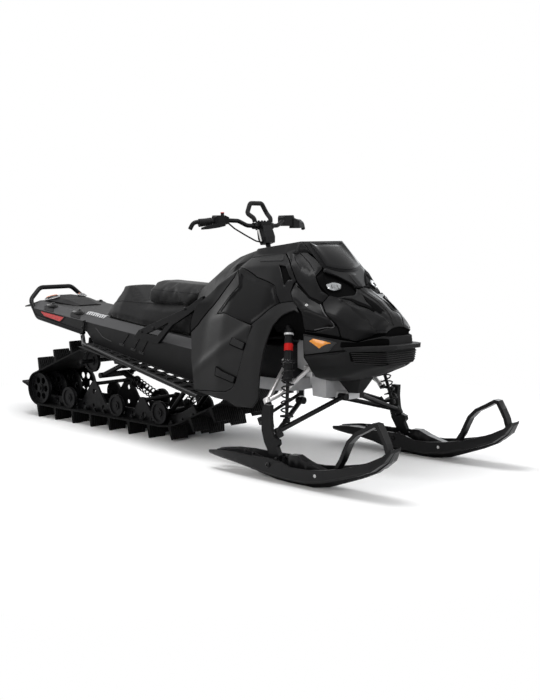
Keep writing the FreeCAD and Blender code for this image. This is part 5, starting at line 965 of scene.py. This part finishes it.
# A closed dark form just under the hood, so that no daylight shows in the seams; its black is painted shade.
SHADE_FORM_X, SHADE_FORM_S = (0.800, 1.300), 0.985
SHADE_FORM_DROP, SHADE_FORM_SKIRT, SHADE_FORM_NARROW = 0.010, 0.050, 0.86
rings = []
for x in np.linspace(*SHADE_FORM_X, 24):
    ring = [NOSE.point(x, v) - NOSE.normal(x, v) * SHADE_FORM_DROP for v in np.linspace(-SHADE_FORM_S, SHADE_FORM_S, 61)]
    ends = [Vector((p.x, p.y * SHADE_FORM_NARROW, p.z - SHADE_FORM_SKIRT)) for p in (ring[0], ring[-1])]
    rings.append([ends[0]] + ring + [ends[1]])
hood_shade_form = link("hood_seam_shade", mesh_from("hood_seam_shade", *ringed(rings, flip=True)), deep_black, "chassis", 30.0)
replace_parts(hood_shade_form, "hood")


bpy.context.view_layer.update()
LAMP = ((1.001, 0.176, 0.902), (1.018, 0.140, 0.914), (1.040, 0.108, 0.902), (1.052, 0.128, 0.882),
        (1.040, 0.156, 0.873), (1.021, 0.178, 0.881))
lamp_bodies, lamp_bars, lamp_rims = [], [], []
for _, side in SIDES:
    out = Vector((0.80, side * 0.38, 0.46)).normalized()
    outline = [Vector((x, side * y, z)) - out * 0.012 for x, y, z in LAMP]
    rim = rounded(outline, 0.010)
    lamp_bodies.append(prism(rim, out, 0.016, 0.004))
    lamp_rims.append(sweep([p + out * 0.010 for p in rim], 0.0022, closed=True))
    for share, corner in ((0.30, 5), (0.66, 4)):
        low, high = outline[corner].lerp(outline[3], share), outline[0].lerp(outline[2], share)
        lamp_bars.append(sweep([low.lerp(high, part) + out * 0.016 for part in (0.12, 0.85)], 0.0026))
merged("headlamp_reflectors", lamp_bodies, chrome)
merged("headlamp_bars", lamp_bars, lens)
merged("headlamp_rims", lamp_rims, lens)

# Screen with raised corners and a dip in the middle of its top edge
SCREEN_HALF = 0.146
SCREEN_OUT = Vector((0.62, 0.0, 0.78))
SCREEN_BULGE = 0.010
CREST_U, CREST_WIDTH, CREST_HEIGHT, TOP_DROP = 0.82, 0.16, 0.012, 0.002


def screen_point(u, v, lift):
    y = SCREEN_HALF * u
    share = 1.0 - abs(u) ** 1.8
    top = Vector((0.842, y, 1.092)).lerp(Vector((0.852, y, 1.094)), share)
    foot = Vector((0.955, y, 0.984)).lerp(Vector((1.003, y, 0.958)), share)
    wave = math.exp(-((abs(u) - CREST_U) / CREST_WIDTH) ** 2)
    top.z += CREST_HEIGHT * wave - TOP_DROP
    bulge = math.sin(math.pi * v) * SCREEN_BULGE * (1.0 - u * u)
    return top.lerp(foot, v) + SCREEN_OUT * (bulge + lift)


def screen(name, finish, u_half, v_low, v_high, lift, depth):
    """A pane of the screen: a front with its edges rolled in, a back, and a wall between them."""
    across, down, rim = 44, 26, 0.002
    verts = []
    for layer in (0, 1):
        for j in range(down + 1):
            for i in range(across + 1):
                u = (2.0 * i / across - 1.0) * u_half
                v = v_low + (v_high - v_low) * j / down
                edge = min(1.0, min(i, across - i, j, down - j) / 1.5)
                verts.append(screen_point(u, v, lift - (depth if layer else rim * (1.0 - edge))))

    def at(layer, i, j):
        return layer * (across + 1) * (down + 1) + j * (across + 1) + i

    faces = []
    for j in range(down):
        for i in range(across):
            faces.append((at(0, i, j), at(0, i + 1, j), at(0, i + 1, j + 1), at(0, i, j + 1)))
            faces.append((at(1, i, j), at(1, i, j + 1), at(1, i + 1, j + 1), at(1, i + 1, j)))
    border = [(i, 0) for i in range(across)] + [(across, j) for j in range(down)]
    border += [(i, down) for i in range(across, 0, -1)] + [(0, j) for j in range(down, 0, -1)]
    for (i0, j0), (i1, j1) in zip(border, border[1:] + border[:1]):
        faces.append((at(0, i1, j1), at(0, i0, j0), at(1, i0, j0), at(1, i1, j1)))
    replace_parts(link(name, mesh_from(name, verts, faces), finish, "chassis", 40.0), "windshield")


screen("screen_frame", panel_deep, 1.0, 0.0, 1.0, 0.0, 0.004)
screen("screen_pane", smoke, 0.86, 0.07, 0.93, 0.0035, 0.003)

# ---------------------------------------------------------------- belly
BELLY_SIDE = [(963, 564), (1000, 570), (1116, 581), (1150, 598), (1232, 596), (1312, 598), (1314, -60), (1240, -60),
              (1060, -60), (963, -60)]
REFLECTOR_BASE = [(963, 664), (1060, 650), (1112, 634), (1084, 591), (1000, 577), (963, 572)]
REFLECTOR = [(989, 638), (1009, 652), (1090, 631), (1042, 604)]
MOUTH = [(1120, 612), (1200, 616), (1300, 618), (1316, 618), (1316, 656), (1290, 660), (1180, 642), (1120, 640)]
CREASE = [(963, 576), (1084, 594), (1150, 601), (1200, 600), (1150, 594), (1086, 586), (963, 566)]
GRILLE = [(1164, 594), (1312, 596), (1316, 540), (1236, 535), (1158, 548)]
SLAT_HEIGHTS = (0.538, 0.548, 0.558, 0.568, 0.578, 0.588)
SLAT_NOSE = ((1.3235, -0.075), (1.3245, 0.0), (1.3235, 0.075))
both_sides("belly_side", BELLY, BELLY_SIDE, panel_matte, lift=0.0035, depth=0.006,
           shape=ridge(BELLY, (0.960, 0.500), (1.125, 0.532), 0.009, 0.050, 0.040))
both_sides("mouth_shade", BELLY, MOUTH, deep_black, lift=0.0030, depth=0.006)
both_sides("belly_crease", BELLY, CREASE, deep_black, lift=0.0055, depth=0.004, roll=0.001, corner=0.003)
both_sides("grille_field", BELLY, GRILLE, deep_black, lift=0.0062, depth=0.004, roll=0.001, corner=0.006)
both_sides("reflector_base", BELLY, REFLECTOR_BASE, panel_grey, lift=0.0050, depth=0.006)
both_sides("side_reflector", BELLY, REFLECTOR, amber, lift=0.0085, depth=0.004, roll=0.0015, corner=0.003)
slats = []
for z in SLAT_HEIGHTS:
    run = [(x, BELLY.yz(x, BELLY.s_at(x, z))[0] + 0.0085) for x in np.linspace(1.176, 1.316, 8)]
    line = [(x, -y) for x, y in run] + list(SLAT_NOSE) + run[::-1]
    slats.append(sweep(smooth_line([(x, y, z) for x, y in line], 3), 0.0030))
merged("grille_slats", slats, panel_matte)


# ---------------------------------------------------------------- seat and bag
CLOTH_FRAMES, CLOTH_QUALITY = 20, 4
NODE_WELD, VOXEL = 0.0001, 0.006


def points_of(mesh):
    points = np.empty(len(mesh.vertices) * 3)
    mesh.vertices.foreach_get("co", points)
    return points.reshape(-1, 3)


def move_points(mesh, points):
    mesh.vertices.foreach_set("co", points.ravel())
    mesh.update()


def baked(item):
    """Gives an object the mesh that its modifiers make."""
    mesh = bpy.data.meshes.new_from_object(item.evaluated_get(bpy.context.evaluated_depsgraph_get()))
    item.modifiers.clear()
    item.data = mesh
    mesh.name = item.name
    return mesh


def stuffed(name, node, finish, shrink, cap, pressure, relax):
    """A cloth skin on the node's shape, puffed by inside pressure no further than cap, then relaxed."""
    item = bpy.data.objects.new(name, nodes[node].data.copy())
    scene.collection.objects.link(item)
    item.matrix_world = nodes[node].matrix_world.copy()
    turn_outward(item.data, NODE_WELD)
    remesh = item.modifiers.new("voxels", "REMESH")
    remesh.mode = "VOXEL"
    remesh.voxel_size = VOXEL
    remesh.use_smooth_shade = True
    mesh = baked(item)
    start = points_of(mesh) - np.array([v.normal[:] for v in mesh.vertices]) * shrink
    move_points(mesh, start)
    cloth = item.modifiers.new("cloth", "CLOTH")
    cloth.settings.use_pressure = True
    cloth.settings.uniform_pressure_force = pressure
    cloth.settings.effector_weights.gravity = 0.0
    cloth.settings.quality = CLOTH_QUALITY
    cloth.point_cache.frame_start = 1
    cloth.point_cache.frame_end = CLOTH_FRAMES
    for number in range(1, CLOTH_FRAMES + 1):
        scene.frame_set(number)
    puffed = item.evaluated_get(bpy.context.evaluated_depsgraph_get())
    way = points_of(puffed.to_mesh()) - start
    puffed.to_mesh_clear()
    item.modifiers.clear()
    scene.frame_set(1)
    length = np.linalg.norm(way, axis=1, keepdims=True)
    move_points(mesh, start + way * np.minimum(1.0, cap / np.maximum(length, 1e-9)))
    work = bmesh.new()
    work.from_mesh(mesh)
    for _ in range(relax):
        bmesh.ops.smooth_vert(work, verts=work.verts, factor=0.5, use_axis_x=True, use_axis_y=True, use_axis_z=True)
    work.to_mesh(mesh)
    work.free()
    finer = item.modifiers.new("finer", "SUBSURF")
    finer.levels = finer.render_levels = 1
    mesh = baked(item)
    mesh.materials.clear()
    mesh.materials.append(finish)
    for polygon in mesh.polygons:
        polygon.use_smooth = True
    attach(item, "chassis")
    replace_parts(item, node)
    return item


def seam(item, side, y, points, radius, lift):
    """Stitched piping that follows a piece's side; points are (x, z)."""
    line = smooth_line([(x, side * y, z) for x, z in points], 6)
    found = filter(None, (hit_on(item, point, (0.0, -side, 0.0)) for point in line))
    return sweep([place + normal * lift for place, normal in found], radius, 6)


seat_pad = stuffed("seat_pad", "seat", vinyl, shrink=0.003, cap=0.016, pressure=3.5, relax=9)
bag = stuffed("rear_bag", "storage_box", textile, shrink=0.004, cap=0.008, pressure=2.0, relax=5)
SEAMS = (  # name, piece, how far out its lines start, lift, and for each line its radius and points
    ("seat_piping", seat_pad, 0.3, -0.0004,
     ((0.0020, [(-0.372, 0.838), (-0.25, 0.832), (-0.10, 0.826), (0.005, 0.822)]),
      (0.0016, [(-0.372, 0.785), (-0.25, 0.782), (-0.10, 0.780), (0.005, 0.778)]))),
    ("bag_piping", bag, 0.35, 0.0,
     ((0.0024, [(-0.735, 0.700), (-0.680, 0.745), (-0.600, 0.763), (-0.440, 0.757), (-0.300, 0.752)]),
      (0.0020, [(-0.700, 0.668), (-0.560, 0.655), (-0.400, 0.640), (-0.300, 0.632)]))),
)
bpy.context.view_layer.update()
for name, item, y, lift, lines in SEAMS:
    merged(name, [seam(item, side, y, line, radius, lift) for _, side in SIDES for radius, line in lines], soft_rubber)


# ---------------------------------------------------------------- tail and tunnel
DOWN = (0, 0, -1)
WALL = 0.2222                      # the tunnel's side face
REAR_REFLECTOR = [(-1.320, 0.673), (-1.076, 0.647), (-1.118, 0.620), (-1.282, 0.647)]
REAR_FRAME = [(-1.332, 0.679), (-1.060, 0.650), (-1.110, 0.613), (-1.288, 0.640)]
RIBS = ((-0.514, 0.562, 0.516), (-0.410, 0.555, 0.496), (-0.339, 0.545, 0.482))
RIB_FOOT = [(-0.022, 0.012), (0.022, 0.006), (0.018, -0.008), (-0.026, -0.002)]
TUNNEL_FOLD = [(-0.760, 0.600), (-0.722, 0.572), (-0.688, 0.549), (-0.610, 0.530)]
ANCHORS = ((-1.256, 0.689), (-0.982, 0.660))
PATCH = [(-0.060, -0.012, 0.018), (0.040, -0.012, 0.008), (0.062, 0.010, -0.016), (-0.034, 0.010, -0.006)]
parts = defaultdict(list)


def wall_plate(name, side, outline, corner, height, roll):
    """A plate on the tunnel's side."""
    rim = rounded([(x, side * WALL, z) for x, z in outline], corner)
    parts[name].append(prism(rim, (0, side, 0), height, roll))


for _, side in SIDES:
    reach, tilt, arc = (0.088, 0.30, 0.53) if side < 0 else (0.066, 0.12, 0.03)
    inner, outer = Vector((-1.318, side * reach, 0.756)), Vector((-1.356, side * (reach + 0.070), 0.738))
    along, up = outer - inner, Vector((0.10, side * tilt, 0.95))
    centre = hit_on(nodes["tail_housing"], (inner + outer) / 2 + up.normalized() * 0.1, -up)[0]
    parts["tail_lamps"].append(dome(centre, along, up, 0.047, 0.024, 0.017))
    rim = oval(centre + up.normalized() * 0.006, along, up, 0.046, 0.0235)
    parts["tail_lamp_rims"].append(sweep(rim, 0.0026, closed=True))
    strip = oval(centre + up.normalized() * 0.0125, along, up, 0.034, 0.016, arc, arc + 0.44, 18)
    parts["tail_lamp_strips"].append(sweep(strip, 0.0028))
    wall_plate("rear_reflectors", side, REAR_REFLECTOR, 0.006, 0.0034, 0.0008)
    wall_plate("rear_reflector_frames", side, REAR_FRAME, 0.008, 0.0018, 0.0006)
    wall = side * WALL
    for x, top, foot in RIBS:
        parts["tunnel_ribs"].append(sweep([(x + 0.066, wall, top + 0.020), (x + 0.034, wall, (top + foot) / 2 + 0.012),
                                           (x, wall, foot)], 0.0042, flat=0.6))
        wall_plate("tunnel_rib_feet", side, [(x + dx, foot + dz) for dx, dz in RIB_FOOT], 0.003, 0.003, 0.001)
    parts["tunnel_fold"].append(sweep(smooth_line([(x, wall, z) for x, z in TUNNEL_FOLD], 6), 0.0026))
    for x, z in ANCHORS:
        centre = Vector((x, side * 0.208, z))
        rim = rounded([centre + Vector((dx, side * dy, dz)) for dx, dy, dz in PATCH], 0.006)
        parts["anchor_patches"].append(prism(rim, (0.07, side * 0.71, 0.71), 0.002, 0.0006))
        parts["deck_anchors"].append(dome(centre + Vector((0.004, -side * 0.022, 0.020)), (1, 0, -0.08),
                                          (0.05, side * 0.35, 0.93), 0.060, 0.020, 0.014))
        parts["deck_anchor_knobs"].append(dome(centre + Vector((0.012, -side * 0.026, 0.032)), (1, 0, 0),
                                               (0.05, side * 0.3, 0.95), 0.016, 0.012, 0.009))
    for step in range(9):
        x = -0.900 + step * 0.020
        z = 0.681 - (x + 0.900) * 0.105
        parts["cooler_cover"].append(sweep([(x, side * 0.150, z + 0.003), (x + 0.006, side * 0.172, z + 0.002),
                                            (x + 0.010, side * 0.188, z - 0.008)], 0.0055, flat=0.7))
    high, low = Vector((-0.862, side * 0.2275, 0.640)), Vector((-0.886, side * 0.2300, 0.556))
    half, out = Vector((0.013, 0.0, 0.0037)), Vector((0, side * 0.007, 0))
    rim = rounded([high - half, high + half, low + half, low - half], 0.006)
    parts["board_links"].append(prism(rim, (0, side, 0), 0.007, 0.0015))
    parts["board_link_bolts"] += [bolt(high.lerp(low, share) + out, (0, side, 0), 0.0075, 0.004)
                                  for share in (0.08, 0.5, 0.92)]
for name, finish in (("tail_lamps", lens), ("tail_lamp_rims", pale_trim), ("tail_lamp_strips", orange_lens),
                     ("rear_reflectors", red_lens), ("rear_reflector_frames", black_plastic),
                     ("tunnel_ribs", tunnel_metal), ("tunnel_rib_feet", panel_grey), ("tunnel_fold", panel_grey),
                     ("anchor_patches", black_plastic), ("deck_anchors", panel_gloss),
                     ("deck_anchor_knobs", panel_gloss), ("cooler_cover", cast_metal), ("board_links", black_metal),
                     ("board_link_bolts", black_metal)):
    merged(name, parts[name], finish)


# ---------------------------------------------------------------- clips, grit, bolts and studs
SINK = 0.0005                      # how deep a bolt or stud sits in what carries it
CLIP_PITCH, CLIP_HALF = 0.0889, 0.0065
CLIP_ROWS, CLIP_STEEP, CLIP_TOP = (-0.152, -0.098, 0.098, 0.152), 0.9, 0.15
CLIP_SHAPE = ((-0.020, 0.0), (0.020, 0.0), (0.013, 0.010), (0.004, 0.024), (-0.004, 0.024), (-0.013, 0.010))
BOARD_TOP, BOARD_STEEP = 0.75, 0.8
GRIT_EDGES, GRIT_DROP, GRIT_THICK = (0.232, 0.335), 0.013, 0.003
BRACE_BOLTS = ((-0.307, 0.608), (-0.200, 0.592), (0.060, 0.750), (0.144, 0.806), (-0.206, 0.632))
WING_BOLT_X, WING_BOLT_Z = 0.968, 0.800
SKI_MIDDLE = 0.460
SKI_BOLTS = ((1.253, 0.071), (1.596, 0.232))
BOARD_STUD = [(0.0, 0.0042), (0.004, 0.0036), (0.0085, 0.0016)]
SKI_STUD = [(0.0, 0.0075), (0.006, 0.0068), (0.011, 0.0045)]


def bolts_on(node, spots, radius, height):
    """A bolt wherever the line from a (start, direction) spot meets a CAD node."""
    found = filter(None, (hit_on(nodes[node], start, way) for start, way in spots))
    return [bolt(place - normal * SINK, normal, radius, height) for place, normal in found]


def studs_on(node, spots, steep, profile, count):
    """A stud under each spot where a CAD node is level enough."""
    found = filter(None, (hit_on(nodes[node], spot, DOWN) for spot in spots))
    return [lathe(place - Vector((0, 0, SINK)), normal, profile, count) for place, normal in found if normal.z > steep]


# Guide clips on the inside of the track's lower run
clips = []
for row in CLIP_ROWS:
    for x in np.arange(-1.24, 0.06, CLIP_PITCH):
        found = hit_on(nodes["track"], (x, row, 0.24), DOWN)
        if found and found[1].z > CLIP_STEEP and found[0].z < CLIP_TOP:
            foot = found[0] - Vector((0.0, 0.0, 0.001))
            base = [foot + Vector((dx, -CLIP_HALF, dz)) for dx, dz in CLIP_SHAPE]
            clips.append(prism(base, (0, 1, 0), 2 * CLIP_HALF))
merged("track_clips", clips, black_metal)

# Dark grit strips under the boards' inner halves
grit = []
for _, side in SIDES:
    known = []
    for x in np.linspace(-0.800, 0.280, 37):
        found = filter(None, (hit_on(nodes["running_boards"], (x, side * y, BOARD_TOP), DOWN)
                              for y in (0.238, 0.262, 0.286, 0.310)))
        heights = [place.z for place, _ in found]
        if heights:
            known.append((x, min(heights)))
    fit = np.polyfit(*zip(*known), 2)
    rings = []
    for x in np.linspace(-0.780, 0.270, 43):
        z = float(np.polyval(fit, x)) - GRIT_DROP
        near, far = (side * y for y in GRIT_EDGES)
        rings.append([(x, near, z), (x, far, z), (x, far, z - GRIT_THICK), (x, near, z - GRIT_THICK)])
    grit.append(ringed(rings))
merged("board_grit", grit, panel_grained)

dark_bolts, white_bolts, studs = [], [], []
for _, side in SIDES:
    spots = [((x, side * 0.5, z), (0, -side, 0)) for x, z in BRACE_BOLTS]
    dark_bolts += bolts_on("frame_braces", spots, 0.0095, 0.0055)
    s = side * NOSE.s_at(WING_BOLT_X, WING_BOLT_Z)
    place = NOSE.point(WING_BOLT_X, s) + NOSE.normal(WING_BOLT_X, s) * (wing_fold(WING_BOLT_X, s) - SINK)
    white_bolts.append(bolt(place, (0.37, side * 0.58, 0.72), 0.0075, 0.0055))
    spots = [(x, side * row, BOARD_TOP) for row in (0.250, 0.300, 0.350) for x in np.arange(-0.80, 0.30, 0.055)]
    studs += studs_on("running_boards", spots, BOARD_STEEP, BOARD_STUD, 10)
merged("frame_bolts", dark_bolts, black_metal)
merged("hood_bolts", white_bolts, pale_trim)
merged("board_studs", studs, engine_metal)
for label, side in SIDES:
    ski, middle = f"ski_{label}", side * SKI_MIDDLE
    spots = [((x, middle + way * 0.2, z), (0, -way, 0)) for x, z in SKI_BOLTS for way in (-1.0, 1.0)]
    merged(f"ski_bolts_{label}", bolts_on(ski, spots, 0.0075, 0.0045), pale_trim, ski)
    spots = [(x, middle + way, 0.45) for x in np.arange(0.70, 1.36, 0.055) for way in (-0.034, 0.034)]
    pivot = bolts_on(ski, [((0.963, middle - 0.2, 0.081), (0, 1, 0))], 0.012, 0.007)
    merged(f"ski_studs_{label}", pivot + studs_on(ski, spots, 0.6, SKI_STUD, 12), ski_plastic, ski)

# Red band round each front damper, and collars
BAND_DROP, COLLAR_DROPS = 0.112, (0.036, 0.170)
COLLAR = [(0.0, 0.0211), (0.001, 0.0236), (0.009, 0.0236), (0.010, 0.0211)]
BAND = [(0.0, 0.0212), (0.0005, 0.0218), (0.0335, 0.0218), (0.034, 0.0212)]
bands, collars = [], []
for _, side in SIDES:
    high, low = Vector((0.878, side * 0.300, 0.697)), Vector((0.9485, side * 0.398, 0.317))
    way = (high - low).normalized()
    bands.append(lathe(high - way * BAND_DROP, way, BAND, 32))
    collars += [lathe(high - way * drop, way, COLLAR, 32) for drop in COLLAR_DROPS]
merged("damper_bands", bands, red_paint)
merged("damper_collars", collars, cast_metal)

# Bar details
RIDGE_START, RIDGE_PITCH = 0.006, 0.0058
GRIP_RIDGE = [(0.0, 0.0175), (0.0008, 0.0196), (0.0026, 0.0196), (0.0034, 0.0175)]
BUTTON = [(0.0, 0.0088), (0.001, 0.0098), (0.0032, 0.0098), (0.0044, 0.0085)]
ridges = []
for _, side in SIDES:
    start, end = Vector((0.342, side * 0.300, 1.209)), Vector((0.308, side * 0.372, 1.197))
    way = (end - start).normalized()
    ridges += [lathe(start + way * (RIDGE_START + step * RIDGE_PITCH), way, GRIP_RIDGE, 24) for step in range(12)]
merged("grip_ridges", ridges, soft_rubber, "steering")
merged("stop_button", [lathe((0.352, -0.238, 1.2495), (0, 0, 1), BUTTON, 28)], red_paint, "steering")
riser_face = hit_on(nodes["bar_clamp"], (0.420, -0.3, 1.135), (0, 1, 0))[0].y
strip = [(x, riser_face, z) for x, z in ((0.402, 1.166), (0.414, 1.166), (0.436, 1.104), (0.424, 1.104))]
merged("riser_strip", [prism(strip, (0, -1, 0), 0.003, 0.0008)], steel, "steering")
clamp_bolts = [bolt((x, y, 1.2078), (0, 0, 1), 0.006, 0.0055) for x in (0.396, 0.420) for y in (-0.022, 0.022)]
merged("clamp_bolts", clamp_bolts, black_metal, "steering")
